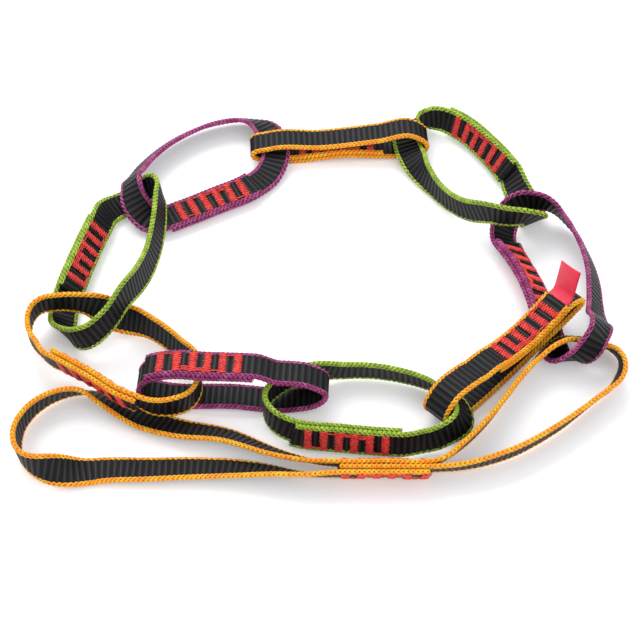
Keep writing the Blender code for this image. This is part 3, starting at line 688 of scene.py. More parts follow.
def black_webbing(edge):
    """Ribbed black nylon webbing, dyed where the braided edge begins."""
    material, tree, shader = new_material(f"webbing_{edge}")
    along, across = strap_map(tree)
    rib = yarns(tree, along, RIB_PITCH * 1000, -math.pi / 2)
    # Painted highlight and painted shade: rib crests are painted dull grey, grooves near black.
    painted_rib_light = add(tree, "ShaderNodeMapRange", {"Value": rib, "From Min": 0.5, "From Max": 1.0})
    nylon = add(tree, "ShaderNodeMix", {
        0: painted_rib_light, 6: colour("#020203"), 7: colour("#26262a"),
    }, data_type="RGBA").outputs[2]
    lint = clouds(tree, LINT_PER_MM, 2.0)
    dust = add(tree, "ShaderNodeMapRange", {"Value": lint, "From Min": 0.55, "From Max": 0.8})
    worn = add(tree, "ShaderNodeMapRange", {
        "Value": clouds(tree, WEAR_PER_MM, 4.0), "From Min": 0.5, "From Max": 0.8,
    })
    nylon = add(tree, "ShaderNodeMix", {
        0: add(tree, "ShaderNodeMath", {0: worn, 1: dust}, operation="MULTIPLY"),
        6: nylon, 7: colour("#232326"),
    }, data_type="RGBA").outputs[2]
    aside = add(tree, "ShaderNodeMath", {0: across}, operation="ABSOLUTE")
    dyed = add(tree, "ShaderNodeMapRange", {
        "Value": aside, "From Min": DYED_EDGE_MM[0], "From Max": DYED_EDGE_MM[1],
    })
    height = add(tree, "ShaderNodeMath", {
        0: yarns(tree, across, FACE_YARN_MM), 1: 0.55,
        2: add(tree, "ShaderNodeMath", {0: lint, 1: 0.7}, operation="MULTIPLY"),
    }, operation="MULTIPLY_ADD")
    fill(shader, {
        **FIBRE,
        "Base Color": add(tree, "ShaderNodeMix", {
            0: dyed, 6: nylon, 7: colour(EDGE_COLOURS[edge]["dark"]),
        }, data_type="RGBA").outputs[2],
        "Roughness": add(tree, "ShaderNodeMath", {0: rib, 1: -0.2, 2: 0.6}, operation="MULTIPLY_ADD"),
        "Specular IOR Level": 0.22,
        "Normal": add(tree, "ShaderNodeBump", {"Strength": 0.8, "Distance": 0.00012, "Height": height}),
    })
    return material


bands = {edge: black_webbing(edge) for edge in EDGE_COLOURS}
print("webbing materials:", sorted(bands))

# %% [markdown]
# ## Braiding yarn
#
# The coloured edges are dyed multi-strand yarn. Each yarn keeps its lit colour where it lies on top and gets
# painted shade where it dives under its neighbours and on its inner side, which the mesh says in an attribute
# named over. Its fibres twist round it, here 0.3 mm apart and so about ten times coarser than real ones, so
# that the twist shows, and the twist's crests get a painted highlight.

# %% Braiding yarn
FIBRE_TWIST_MM = 0.31
TWIST_SLOPE = 1.348
DYE_PATCHES_PER_MM = 0.26


def braiding_yarn(edge):
    """Dyed nylon yarn, patchy from the dye bath, with painted shade where it dives and painted twist
    highlights.
    """
    material, tree, shader = new_material(f"braid_{edge}")
    shades = {shade: colour(code) for shade, code in EDGE_COLOURS[edge].items()}
    along, around = strap_map(tree)
    spiral = add(tree, "ShaderNodeMath", {0: around, 1: TWIST_SLOPE, 2: along}, operation="MULTIPLY_ADD")
    twist = yarns(tree, spiral, FIBRE_TWIST_MM)
    patchy = add(tree, "ShaderNodeMapRange", {
        "Value": clouds(tree, DYE_PATCHES_PER_MM, 3.0), "From Min": 0.42, "From Max": 0.66,
    })
    lit = add(tree, "ShaderNodeMix", {
        0: patchy, 6: shades["main"], 7: shades["light"],
    }, data_type="RGBA").outputs[2]
    # Painted highlight: the crests of the fibres' twist are lightened towards the light tone.
    lit = add(tree, "ShaderNodeMix", {
        0: add(tree, "ShaderNodeMath", {0: twist, 1: 0.25}, operation="MULTIPLY"),
        6: lit, 7: shades["light"],
    }, data_type="RGBA").outputs[2]
    # Painted shade: where the yarn dives under its neighbours or faces inwards, it darkens to the dark tone.
    over = add(tree, "ShaderNodeAttribute", {}, attribute_name="over").outputs["Fac"]
    lit_share = add(tree, "ShaderNodeMapRange", {"Value": over, "From Min": 0.0, "From Max": 0.75})
    fill(shader, {
        **FIBRE,
        "Base Color": add(tree, "ShaderNodeMix", {
            0: lit_share, 6: shades["dark"], 7: lit,
        }, data_type="RGBA").outputs[2],
        "Roughness": 0.55,
        "Sheen Weight": 0.3,
        "Sheen Tint": shades["light"],
        "Normal": add(tree, "ShaderNodeBump", {"Strength": 0.7, "Distance": 0.00006, "Height": twist}),
    })
    return material


braids = {edge: braiding_yarn(edge) for edge in EDGE_COLOURS}
print("braid materials:", sorted(braids))

# %% [markdown]
# ## Sewing thread
#
# Bar tacks are sewn with thick bonded polyester thread. Its bonding gives it a slight shine and keeps its
# fibres together, so only a fine unevenness shows.

# %% Sewing thread
def sewing_thread():
    """Red bonded polyester thread."""
    material, tree, shader = new_material("tack_thread")
    patchy = add(tree, "ShaderNodeMapRange", {
        "Value": clouds(tree, 0.7, 2.0), "From Min": 0.35, "From Max": 0.7,
    })
    fill(shader, {
        **FIBRE,
        "Base Color": add(tree, "ShaderNodeMix", {
            0: patchy, 6: colour("#c81f1f"), 7: colour("#ff4a3c"),
        }, data_type="RGBA").outputs[2],
        "Roughness": 0.5,
        "Sheen Weight": 0.3,
        "Sheen Tint": colour("#ff8a70"),
        "Normal": add(tree, "ShaderNodeBump", {
            "Strength": 0.6, "Distance": 0.00005, "Height": clouds(tree, 5.2, 1.0),
        }),
    })
    return material


thread = sewing_thread()
print("material:", thread.name)

# %% [markdown]
# ## Satin ribbon
#
# The tab is woven satin: long warp floats along it reflect as one soft streak, and its woven border is a
# little darker. The floats are about 0.1 mm apart in real ribbon and drawn at 0.3 mm so that they show.

# %% Satin ribbon
FLOAT_MM = 0.28
PICK_MM = 0.42
BORDER_MM = (4.5, 4.8)


def satin_ribbon():
    """Red polyester satin."""
    material, tree, shader = new_material("label_satin")
    along, across = strap_map(tree)
    patchy = add(tree, "ShaderNodeMapRange", {
        "Value": clouds(tree, 0.06, 2.0), "From Min": 0.3, "From Max": 0.7,
    })
    red = add(tree, "ShaderNodeMix", {
        0: patchy, 6: colour("#e01c3c"), 7: colour("#ff4560"),
    }, data_type="RGBA").outputs[2]
    border = add(tree, "ShaderNodeMapRange", {
        "Value": add(tree, "ShaderNodeMath", {0: across}, operation="ABSOLUTE"),
        "From Min": BORDER_MM[0], "From Max": BORDER_MM[1], "To Max": 0.45,
    })
    picks = add(tree, "ShaderNodeMath", {0: yarns(tree, along, PICK_MM), 1: 0.3}, operation="MULTIPLY")
    height = add(tree, "ShaderNodeMath", {
        0: yarns(tree, across, FLOAT_MM), 1: 0.6, 2: picks,
    }, operation="MULTIPLY_ADD")
    fill(shader, {
        **FIBRE,
        "Base Color": add(tree, "ShaderNodeMix", {
            0: border, 6: red, 7: colour("#9a0c26"),
        }, data_type="RGBA").outputs[2],
        "Roughness": 0.36,
        "Anisotropic": 0.4,
        "Sheen Weight": 0.25,
        "Sheen Tint": colour("#ff7a88"),
        "Normal": add(tree, "ShaderNodeBump", {"Strength": 0.5, "Distance": 0.00003, "Height": height}),
    })
    return material


satin = satin_ribbon()
print("material:", satin.name)

# %% [markdown]
# ## Singed ends
#
# Nylon is cut with a hot knife, which melts the yarns into a dull dark crust with some loose fibres.

# %% Singed ends
def singed_end():
    """Melted and frayed nylon."""
    material, tree, shader = new_material("singed_end")
    fill(shader, {
        **FIBRE,
        "Base Color": add(tree, "ShaderNodeMix", {
            0: clouds(tree, 0.9, 3.0), 6: colour("#0b0b0c"), 7: colour("#3a3a3c"),
        }, data_type="RGBA").outputs[2],
        "Roughness": 0.8,
        "Sheen Weight": 0.4,
        "Sheen Tint": colour("#77777c"),
        "Normal": add(tree, "ShaderNodeBump", {
            "Strength": 0.8, "Distance": 0.0001, "Height": clouds(tree, 2.5, 2.0),
        }),
    })
    return material


singed = singed_end()
print("materials so far:", len(bpy.data.materials))

# %% [markdown]
# ## Rings into meshes
#
# The band, the yarns, the fibres and the tab are all tubes: rings of points along a strap, joined by
# four-sided faces and closed at both ends. Rings run anticlockwise, seen against their travel, so that the
# faces point outwards.

# %% Rings into meshes
def tube_faces(rings, sides, first):
    """Faces of a closed tube whose points start at the number first."""
    faces = []
    for ring in range(rings - 1):
        start = first + ring * sides
        for j in range(sides):
            k = (j + 1) % sides
            faces.append((start + j, start + k, start + sides + k, start + sides + j))
    faces.append(tuple(first + j for j in reversed(range(sides))))
    faces.append(tuple(first + (rings - 1) * sides + j for j in range(sides)))
    return faces


def ring_map(distances, across):
    """Map coordinates in millimetres for rings of points along a strap."""
    shape = (len(distances), len(across))
    both = np.stack([np.broadcast_to(distances[:, None], shape), np.broadcast_to(across, shape)], axis=-1)
    return both.reshape(-1, 2) * 1000


def mesh_piece(name, points, faces, places, material):
    """A smooth mesh with the map in millimetres."""
    data = bpy.data.meshes.new(name)
    data.from_pydata(points.tolist(), [], faces)
    corners = np.zeros(len(data.loops), np.int32)
    data.loops.foreach_get("vertex_index", corners)
    layer = data.uv_layers.new(name="strap_mm")
    layer.data.foreach_set("uv", places[corners].astype(np.float32).ravel())
    data.polygons.foreach_set("use_smooth", np.ones(len(data.polygons), bool))
    data.materials.append(material)
    made = bpy.data.objects.new(name, data)
    bpy.context.scene.collection.objects.link(made)
    return made


print("faces of a tube of 3 rings of 6:", len(tube_faces(3, 6, 0)))

# %% [markdown]
# ## The ribbed band
#
# The ribs are real shape, because they catch the light along their crests and show on the outline of a
# bend. A displaced grid would do too, but here each ring knows its distance along the strap, so its height
# follows from the distance alone. The band stops short of the strap's edge, inside the braid.

# %% The ribbed band
BAND_STEP = 0.0004
BAND_MARGIN = 0.00055
BAND_HALF = WEBBING_WIDTH / 2 - BAND_MARGIN
BAND_SHARES = (-1, -0.95, -0.82, -0.62, -0.42, -0.21, 0, 0.21, 0.42, 0.62, 0.82, 0.95, 1)
BAND_EDGE_THINNING = 0.18
GROOVE_HALF_THICKNESS = 0.00060
RIB_HEIGHT = 0.00042
RIB_FULLNESS = 2.2
RIB_MEAN_SHARE = 0.95
# Two waves make the ribs uneven: each one's share of a rib's height, and its turn from rib to rib.
RIB_WAVE_SHARES = ((0.06, 0.9), (0.05, 2.3))


def rib_share(distances):
    """How high the ribs stand, from 0 in a groove to about 1 on a crest."""
    counted = distances / RIB_PITCH
    uneven = RIB_MEAN_SHARE + sum(share * np.sin(counted * turn) for share, turn in RIB_WAVE_SHARES)
    return (1 - np.abs(counted % 1 * 2 - 1) ** RIB_FULLNESS) * uneven


def band(name, strap):
    """The ribbed band of a strap, with singed ends."""
    distances = np.linspace(0, strap["length"], int(strap["length"] / BAND_STEP) + 1)
    rows = rows_at(strap, distances)
    shares = np.array([*reversed(BAND_SHARES), *BAND_SHARES])
    face = np.repeat([1.0, -1.0], len(BAND_SHARES))
    half = GROOVE_HALF_THICKNESS + RIB_HEIGHT * rib_share(distances)
    height = half[:, None] * (1 - BAND_EDGE_THINNING * shares**8) * face
    points = (
        rows["centre"][:, None]
        + (shares * BAND_HALF)[:, None] * rows["width"][:, None]
        + height[:, :, None] * rows["facing"][:, None]
    )
    faces = tube_faces(len(distances), len(shares), 0)
    places = ring_map(distances, shares * BAND_HALF)
    made = mesh_piece(name, points.reshape(-1, 3), faces, places, bands[strap["edge"]])
    made.data.materials.append(singed)
    for end in (-1, -2):
        made.data.polygons[end].material_index = 1
        made.data.polygons[end].use_smooth = False
    return made


for name, strap in straps.items():
    piece = band(f"{name}_band", strap)
    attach(piece, strap["body"])
    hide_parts(f"{name}_webbing")
    print(piece.name, round(strap["length"] * 1000), "mm,", len(piece.data.polygons), "faces")

# %% [markdown]
# ## The braided edges
#
# The edge of the webbing is woven with coloured yarns that look like a flat braid. A flat strip with a
# drawn pattern would be cheaper, but the yarns show on the outline, so each is a tube of its own. Four yarns
# an edge each swing round it from face to face, a quarter of a period apart, and dive under and over.

# %% The braided edges
BRAID_STEP = 0.00035
BRAID_PERIOD = 0.0078
BRAID_STRANDS = 4
BRAID_INSET = 0.00130
BRAID_MIDDLE = WEBBING_WIDTH / 2 - BRAID_INSET
BRAID_HALF_WIDTH = 0.00086
BRAID_HALF_HEIGHT = 0.00062
BRAID_SWING = math.radians(112)
BRAID_DIVE = 0.00012
YARN_RADIUS = 0.00046
YARN_ANGLES = np.arange(6) / 6 * 2 * math.pi
# How much a yarn's dive and its outer side count in how far on top a point lies.
OVER_DIVE_SHARE = 0.3
OVER_OUTSIDE_SHARE = 0.35


def yarn_points(rows, distances, edge, strand):
    """Rings of one yarn of the braid, and how far on top each of their points lies."""
    turn = 2 * math.pi * (distances / BRAID_PERIOD + strand / BRAID_STRANDS)[:, None]
    swing = BRAID_SWING * np.sin(turn)
    outward = edge * np.cos(swing) * rows["width"] + np.sin(swing) * rows["facing"]
    middle = (
        rows["centre"]
        + edge * (BRAID_MIDDLE + BRAID_HALF_WIDTH * np.cos(swing)) * rows["width"]
        + BRAID_HALF_HEIGHT * np.sin(swing) * rows["facing"]
        + BRAID_DIVE * np.sin(2 * turn) * outward
    )
    along = unit(np.gradient(middle, axis=0))
    outward = square_to(outward, along)
    sideways = np.cross(along, outward)
    rings = middle[:, None] + YARN_RADIUS * (
        np.cos(YARN_ANGLES)[:, None] * outward[:, None] + np.sin(YARN_ANGLES)[:, None] * sideways[:, None]
    )
    # How far on top each point lies: the braid's material paints shade where this is low.
    over = 0.5 + OVER_DIVE_SHARE * np.sin(2 * turn) + OVER_OUTSIDE_SHARE * np.cos(YARN_ANGLES)
    return rings.reshape(-1, 3), np.clip(over, 0, 1).ravel()


def braid(name, strap):
    """The yarns along both edges of a strap."""
    distances = np.linspace(0, strap["length"], int(strap["length"] / BRAID_STEP) + 1)
    rows = rows_at(strap, distances)
    points, over, faces = [], [], []
    for edge in (-1, 1):
        for strand in range(BRAID_STRANDS):
            faces += tube_faces(len(distances), len(YARN_ANGLES), sum(len(rings) for rings in points))
            rings, height = yarn_points(rows, distances, edge, strand)
            points.append(rings)
            over.append(height)
    places = np.tile(ring_map(distances, YARN_ANGLES * YARN_RADIUS), (len(points), 1))
    made = mesh_piece(name, np.vstack(points), faces, places, braids[strap["edge"]])
    attribute = made.data.attributes.new("over", "FLOAT", "POINT")
    attribute.data.foreach_set("value", np.concatenate(over).astype(np.float32))
    return made


for name, strap in straps.items():
    piece = braid(f"{name}_braid", strap)
    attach(piece, strap["body"])
    print(piece.name, len(piece.data.polygons), "faces")

# %% [markdown]
# ## Frayed ends
#
# Some fibres escape the hot knife at each cut end. Blender's hair could draw them, but hair is no mesh, and
# a part that others use needs meshes. They are short thin spikes, placed at random with a fixed seed for each
# strap.

# %% Frayed ends
FIBRES_PER_END = 46
FIBRE_REACH = (0.0004, 0.0011)
FIBRE_RADII = (0.00011, 0.00009, 0.00003)
FIBRE_BEND = 0.0001
FIBRE_LEAN = 0.35
FIBRE_SIDES = 3
# How much of the webbing's half width and half thickness the fibres take, and how little they lean out of it.
FIBRE_WIDTH_SHARE = 0.93
FIBRE_THICKNESS_SHARE = 0.8
FIBRE_FACING_SHARE = 0.6


def frayed_ends(name, strap):
    """Loose fibres at both cut ends of a strap."""
    chance = np.random.default_rng(len(name) * 7 + int(strap["length"] * 1e5) % 97)
    points, faces = [], []
    for distance, direction in ((0.0, -1), (strap["length"], 1)):
        row = {key: value[0] for key, value in rows_at(strap, np.array([distance])).items()}
        for _ in range(FIBRES_PER_END):
            across = chance.uniform(-FIBRE_WIDTH_SHARE, FIBRE_WIDTH_SHARE) * WEBBING_WIDTH / 2
            through = chance.uniform(-FIBRE_THICKNESS_SHARE, FIBRE_THICKNESS_SHARE) * WEBBING_THICKNESS / 2
            base = row["centre"] + across * row["width"] + through * row["facing"]
            reach = chance.uniform(*FIBRE_REACH)
            lean = chance.normal(0, FIBRE_LEAN, 2)
            leaning = lean[0] * row["width"] + lean[1] * FIBRE_FACING_SHARE * row["facing"]
            tip = base + reach * (direction * row["along"] + leaning)
            bent = (base + tip) / 2 + lean[1] * FIBRE_BEND * row["width"]
            faces += tube_faces(len(FIBRE_RADII), FIBRE_SIDES, len(points))
            for centre, radius in zip((base, bent, tip), FIBRE_RADII):
                for k in range(FIBRE_SIDES):
                    angle = direction * 2 * math.pi * k / FIBRE_SIDES
                    outward = math.cos(angle) * row["width"] + math.sin(angle) * row["facing"]
                    points.append(centre + radius * outward)
    return mesh_piece(name, np.array(points), faces, np.zeros((len(points), 2)), singed)


for name, strap in straps.items():
    piece = frayed_ends(f"{name}_fuzz", strap)
    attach(piece, strap["body"])
print("loose fibres at each cut end:", FIBRES_PER_END)

# %% [markdown]
# ## One stitch, many times
#
# A bar tack is a dense zigzag of thread, too deep for a bump to draw. Its stitches are alike, so Geometry
# Nodes bend one thread and set it on every point of a cloud, turned by two directions that the points carry.
# A random number with a fixed seed makes the stitches a little longer or shorter, which gives the bars their
# ragged ends. The threads are a little thicker and fewer than real ones, so that they show.

# %% One stitch, many times
STITCH_SHARE = 0.80
STITCH_LENGTH = TACK_LENGTH * STITCH_SHARE
THREAD_RADIUS = 0.00028
STITCH_RISE = 0.00034
STITCH_UNEVENNESS = 0.16
FIRST_SEED = 3
STITCH_RESOLUTION = 6
# The thread's bend: each control point's place along the stitch, in stitch lengths, and height, in rises.
STITCH_BEND_SHARES = {
    "Start": (-0.5, 0),
    "Start Handle": (-0.275, 1.3),
    "End Handle": (0.275, 1.3),
    "End": (0.5, 0),
}
STITCH_INPUTS = {
    "Points": ("NodeSocketGeometry", None),
    "Stitch Length": ("NodeSocketFloat", STITCH_LENGTH),
    "Thread Radius": ("NodeSocketFloat", THREAD_RADIUS),
    "Stitch Rise": ("NodeSocketFloat", STITCH_RISE),
    "Unevenness": ("NodeSocketFloat", STITCH_UNEVENNESS),
    "Seed": ("NodeSocketInt", FIRST_SEED),
    "Thread Material": ("NodeSocketMaterial", None),
}


def bent_thread(tree, given):
    """One stitch: a thread bent over the webbing, with closed ends."""
    bend = {"Resolution": STITCH_RESOLUTION}
    for socket, (share, height) in STITCH_BEND_SHARES.items():
        bend[socket] = add(tree, "ShaderNodeCombineXYZ", {
            "X": add(tree, "ShaderNodeMath", {0: given["Stitch Length"], 1: share}, operation="MULTIPLY"),
            "Z": add(tree, "ShaderNodeMath", {0: given["Stitch Rise"], 1: height}, operation="MULTIPLY"),
        })
    ring = {"Resolution": STITCH_RESOLUTION, "Radius": given["Thread Radius"]}
    return add(tree, "GeometryNodeCurveToMesh", {
        "Curve": add(tree, "GeometryNodeCurvePrimitiveBezierSegment", bend),
        "Profile Curve": add(tree, "GeometryNodeCurvePrimitiveCircle", ring),
        "Fill Caps": True,
    })


def stitch_tree():
    """The node tree that sets a stitch on every point, with the identifiers of its inputs."""
    tree = bpy.data.node_groups.new("stitches_on_points", "GeometryNodeTree")
    identifiers = {}
    for label, (kind, value) in STITCH_INPUTS.items():
        item = tree.interface.new_socket(label, in_out="INPUT", socket_type=kind)
        identifiers[label] = item.identifier
        if value is not None:
            item.default_value = value
    tree.interface.new_socket("Stitches", in_out="OUTPUT", socket_type="NodeSocketGeometry")
    given = add(tree, "NodeGroupInput", {}).outputs
    facing, along = (
        add(tree, "GeometryNodeInputNamedAttribute", {"Name": name}, data_type="FLOAT_VECTOR")
        for name in ("facing", "stitch_along")
    )
    turn = add(tree, "FunctionNodeAxesToRotation", {
        0: facing, 1: along,
    }, primary_axis="Z", secondary_axis="X")
    length = add(tree, "FunctionNodeRandomValue", {
        2: add(tree, "ShaderNodeMath", {0: 1.0, 1: given["Unevenness"]}, operation="SUBTRACT"),
        3: add(tree, "ShaderNodeMath", {0: 1.0, 1: given["Unevenness"]}, operation="ADD"),
        "Seed": given["Seed"],
    }, data_type="FLOAT").outputs[1]
    placed = add(tree, "GeometryNodeInstanceOnPoints", {
        "Points": given["Points"],
        "Instance": bent_thread(tree, given),
        "Rotation": turn,
        "Scale": add(tree, "ShaderNodeCombineXYZ", {"X": length, "Y": 1.0, "Z": 1.0}),
    })
    real = add(tree, "GeometryNodeRealizeInstances", {0: placed})
    smooth = add(tree, "GeometryNodeSetShadeSmooth", {0: real})
    dyed = add(tree, "GeometryNodeSetMaterial", {0: smooth, "Material": given["Thread Material"]})
    add(tree, "NodeGroupOutput", {0: dyed})
    return tree, identifiers


tree, identifiers = stitch_tree()
print("stitch tree:", len(tree.nodes), "nodes, inputs", list(identifiers))

# %% [markdown]
# ## Where the stitches go
#
# A lap has six bars on both of its faces. The stitches of a bar lie side by side across the strap and
# slant to and fro. The machine's thread also runs on from each bar to the next, near one edge.

# %% Where the stitches go
STITCHES_PER_BAR = 17
ZIGZAG_SLANT = 0.13
FACE_SLANT = 0.05
STITCH_CLEARANCE = 0.00002
# Places across the tack, in tack widths, of the threads that run on from each bar to the next.
JUMP_SHARES = [(-0.4,), (0.41,), (0.34, 0.43), (0.27, 0.35, 0.43), (-0.42,)]


def stitch_points(strap):
    """Places of every stitch of a lap, with the directions that it faces and runs."""
    points, facings, alongs = [], [], []
    surface = strap["half_stack"] + STITCH_CLEARANCE
    tacks = dict(strap["tacks"], centre=strap["tacks"]["centre"] + strap["hook"] + SHIFT)
    spread = np.linspace(-0.5, 0.5, STITCHES_PER_BAR) * (TACK_WIDTH - 2 * THREAD_RADIUS)
    for i in range(TACK_COUNT):
        centre, along, width, facing = (tacks[key][i] for key in ("centre", "along", "width", "facing"))
        for face in (-1, 1):
            for k, across in enumerate(spread):
                slant = ZIGZAG_SLANT * (-1) ** k + FACE_SLANT * face
                points.append(centre + across * width + face * surface * facing)
                facings.append(face * facing)
                alongs.append(along + slant * width)
        for share in JUMP_SHARES[i] if i + 1 < TACK_COUNT else ():
            between_bars = (centre + tacks["centre"][i + 1]) / 2 + share * TACK_WIDTH * width
            for face in (-1, 1):
                points.append(between_bars + face * surface * facing)
                facings.append(face * facing)
                alongs.append(along)
    return points, {"facing": facings, "stitch_along": alongs}


print("stitches of one lap:", len(stitch_points(straps["link_1"])[0]))

# %% [markdown]
# ## Sewing the laps
#
# The tree runs once for each lap. Its result is kept as a plain mesh, and the points and the modifier go,
# so that nothing live is left on the piece.

# %% Sewing the laps
def sewn(name, points, directions, settings):
    """Run the stitch tree on the points and keep only its result."""
    data = bpy.data.meshes.new(f"{name}_points")
    data.from_pydata([tuple(point) for point in points], [], [])
    for label, rows in directions.items():
        attribute = data.attributes.new(label, "FLOAT_VECTOR", "POINT")
        attribute.data.foreach_set("vector", np.array(rows, np.float32).ravel())
    holder = bpy.data.objects.new(data.name, data)
    bpy.context.scene.collection.objects.link(holder)
    modifier = holder.modifiers.new("stitches", "NODES")
    modifier.node_group = tree
    for label, value in settings.items():
        modifier[identifiers[label]] = value
    graph = bpy.context.evaluated_depsgraph_get()
    result = bpy.data.meshes.new_from_object(holder.evaluated_get(graph))
    result.name = name
    bpy.data.objects.remove(holder)
    bpy.data.meshes.remove(data)
    made = bpy.data.objects.new(name, result)
    bpy.context.scene.collection.objects.link(made)
    return made


for seed, (name, strap) in enumerate(straps.items(), FIRST_SEED):
    points, directions = stitch_points(strap)
    piece = sewn(f"{name}_bars", points, directions, {
        "Stitch Length": STITCH_LENGTH,
        "Thread Radius": THREAD_RADIUS,
        "Stitch Rise": STITCH_RISE,
        "Unevenness": STITCH_UNEVENNESS,
        "Seed": seed,
        "Thread Material": thread,
    })
    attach(piece, strap["body"])
    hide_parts(f"{name}_tacks")
    print(piece.name, len(points), "stitches,", len(piece.data.polygons), "faces")

# %% [markdown]
# ## The tab
#
# A ribbon is sewn under the last link's cut end. Pressed satin keeps a slight crown across its width and
# stands up in a gentle bend. It is a stiff tab of 10.5 by 18.5 mm and not a hanging cloth, so its bend is
# modelled directly.

# %% The tab
LABEL_WIDTH = 0.0105
LABEL_LENGTH = 0.0185
LABEL_BEND_LENGTH = 0.006
LABEL_THICKNESS = 0.0005
LABEL_RISE = math.radians(62)
LABEL_CROWN = 0.00035
# The crown grows over the first two thirds of the ribbon, and the ribbon's edges are pressed thinner.
LABEL_CROWN_SHARE = 2 / 3
LABEL_EDGE_SHARE = 0.95
LABEL_EDGE_THICKNESS_SHARE = 0.45
LABEL_STEPS = 48
LABEL_SHARES = np.array([-1, -0.97, -0.9, -0.6, -0.3, 0, 0.3, 0.6, 0.9, 0.97, 1])


def tab(name, row):
    """The ribbon as a thin closed strip."""
    place = row["centre"] + row["facing"] * (WEBBING_THICKNESS / 2 + THREAD_GAP + LABEL_THICKNESS / 2)
    place = place - row["along"] * THREAD_GAP
    step = LABEL_LENGTH / LABEL_STEPS
    shares = np.concatenate([LABEL_SHARES, LABEL_SHARES[::-1]])
    face = np.repeat([1, -1], len(LABEL_SHARES))
    points = []
    for i in range(LABEL_STEPS + 1):
        turn = LABEL_RISE * min(i * step / LABEL_BEND_LENGTH, 1)
        forward = -row["along"] * math.cos(turn) + row["facing"] * math.sin(turn)
        upward = row["facing"] * math.cos(turn) + row["along"] * math.sin(turn)
        crown = LABEL_CROWN * (1 - shares**2) * min(i / LABEL_STEPS / LABEL_CROWN_SHARE, 1)
        thinning = np.where(np.abs(shares) > LABEL_EDGE_SHARE, LABEL_EDGE_THICKNESS_SHARE, 1)
        half = LABEL_THICKNESS / 2 * thinning
        if i in (0, LABEL_STEPS):
            half = half / 2
        across = (LABEL_WIDTH / 2 * shares)[:, None] * row["width"]
        points.append(place + across + (crown + face * half)[:, None] * upward)
        place = place + forward * step
    faces = tube_faces(len(points), len(shares), 0)
    places = ring_map(np.arange(LABEL_STEPS + 1) * step, LABEL_WIDTH / 2 * shares)
    return mesh_piece(name, np.vstack(points), faces, places, satin)


last_side = LINKS[-1][5]
row = {key: value[0] for key, value in rows_at(straps["link_9"], np.array([0.0])).items()}
row["centre"] = row["centre"] - last_side * LAYER_PITCH * row["facing"]
label = tab("label_ribbon", row)
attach(label, "link_9")
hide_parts("label_tab")
print("tab:", len(label.data.polygons), "faces")

# %% [markdown]
# ## Floor
#
# The chain lies on white paper. The floor is 0.6 mm above the CAD model's zero, so that the straps come
# within about a millimetre of it. Link 3's lowest stitches dip a quarter of a millimetre into it, out of
# sight under their strap. To the camera, and to rays that mirrors and glass send on, the paper glows a
# little, which thins the shadows as the photograph has them and puts no more light on the chain.

# %% Floor
FLOOR_HEIGHT = 0.0006
FLOOR_HALF = 4.0
PAPER_GLOW = 0.2

corners = [(x * FLOOR_HALF, y * FLOOR_HALF, FLOOR_HEIGHT) for x, y in ((-1, -1), (1, -1), (1, 1), (-1, 1))]
floor_mesh = bpy.data.meshes.new("floor")
floor_mesh.from_pydata(corners, [], [(0, 1, 2, 3)])
floor = bpy.data.objects.new("floor", floor_mesh)
bpy.context.scene.collection.objects.link(floor)

paper, paper_tree, paper_shader = new_material("floor_paper")
rays = add(paper_tree, "ShaderNodeLightPath", {}).outputs
seen = rays["Is Camera Ray"]
for kind in ("Is Glossy Ray", "Is Transmission Ray"):
    seen = add(paper_tree, "ShaderNodeMath", {0: seen, 1: rays[kind]}, operation="MAXIMUM").outputs[0]
glow = add(paper_tree, "ShaderNodeMath", {0: seen, 1: PAPER_GLOW}, operation="MULTIPLY")
fill(paper_shader, {
    "Base Color": colour("#f6f6f7"),
    "Roughness": 0.9,
    "Specular IOR Level": 0.1,
    "Emission Color": colour("#ffffff"),
    "Emission Strength": glow.outputs[0],
})
floor_mesh.materials.append(paper)
floor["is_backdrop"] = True
print("floor at", FLOOR_HEIGHT * 1000, "mm")

# %% [markdown]
# ## Light
#
# A pale sky all round and two large lamps make the soft, nearly shadowless light of a product picture. The
# larger lamp stands behind the chain on the left, so that the ribs' crests shine towards the camera.

# %% Light
SKY_STRENGTH = 0.86
# Each lamp: its name, place in metres, width and height in metres, and power in watts.
LAMPS = [
    ("key", (-0.35, 0.75, 1.1), (1.3, 0.9), 12),
    ("front", (0.5, -1.0, 1.0), (1.2, 0.8), 5),
]

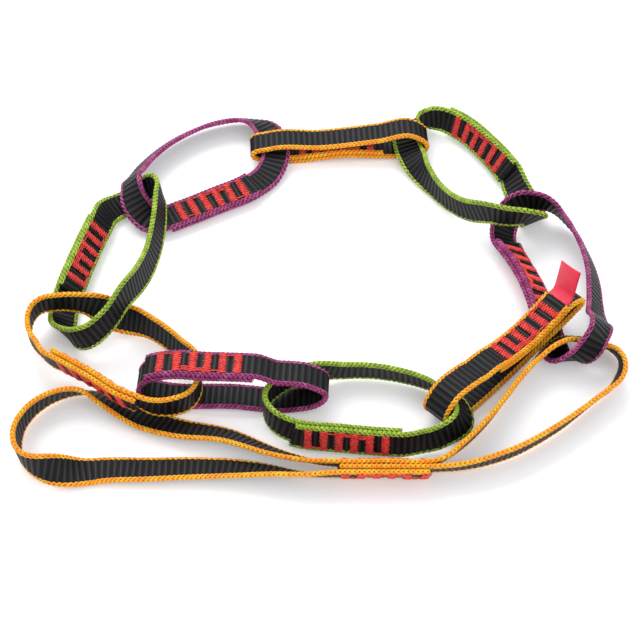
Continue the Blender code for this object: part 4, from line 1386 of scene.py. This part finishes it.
world = bpy.data.worlds.new("studio")
bpy.context.scene.world = world
world.use_nodes = True
fill(world.node_tree.nodes["Background"], {"Color": colour("#fbfcff"), "Strength": SKY_STRENGTH})

for name, place, (width, height), power in LAMPS:
    data = bpy.data.lights.new(name, "AREA")
    data.shape = "RECTANGLE"
    data.size = width
    data.size_y = height
    data.energy = power
    lamp = bpy.data.objects.new(name, data)
    lamp.location = place
    lamp.rotation_mode = "QUATERNION"
    lamp.rotation_quaternion = (-Vector(place)).to_track_quat("-Z", "Y")
    bpy.context.scene.collection.objects.link(lamp)
print("lamps:", len(LAMPS))

# %% [markdown]
# ## Camera
#
# The photograph seems to look down at 48 degrees from about 0.8 m. The lens follows from its scale: at the
# picture's middle, a metre would be 2280 pixels long, in a picture of 640 pixels.

# %% Camera
CAMERA_ELEVATION = math.radians(48)
CAMERA_DISTANCE = 0.802
PIXELS_PER_METRE = 2280
IMAGE_SIZE = 640
SENSOR_WIDTH_MM = 36
# The picture's middle, from link 1's hook.
PICTURE_MIDDLE = np.array([-0.112, 0.022, -0.00125])

back = Vector((0, -math.cos(CAMERA_ELEVATION), math.sin(CAMERA_ELEVATION)))
camera_data = bpy.data.cameras.new("camera")
camera_data.sensor_width = SENSOR_WIDTH_MM
camera_data.lens = SENSOR_WIDTH_MM * PIXELS_PER_METRE * CAMERA_DISTANCE / IMAGE_SIZE
camera_data.clip_start = 0.01
camera_data.clip_end = 50
camera = bpy.data.objects.new("camera", camera_data)
camera.location = Vector(SHIFT + PICTURE_MIDDLE) + back * CAMERA_DISTANCE
camera.rotation_mode = "QUATERNION"
camera.rotation_quaternion = (-back).to_track_quat("-Z", "Y")
bpy.context.scene.collection.objects.link(camera)
bpy.context.scene.camera = camera
bpy.context.scene.view_settings.view_transform = "Standard"
print("camera at", [round(c, 3) for c in camera.location], "with a lens of", round(camera_data.lens), "mm")

# %% [markdown]
# ## Size and finish
#
# The dressed chain has to stay in the solids' box, so both boxes are printed.

# %% Size and finish
dressed_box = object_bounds()
for name, box in (("cad", cad_box), ("visual", dressed_box)):
    print(name, "box in mm:", [[round(c * 1000, 1) for c in corner] for corner in box])
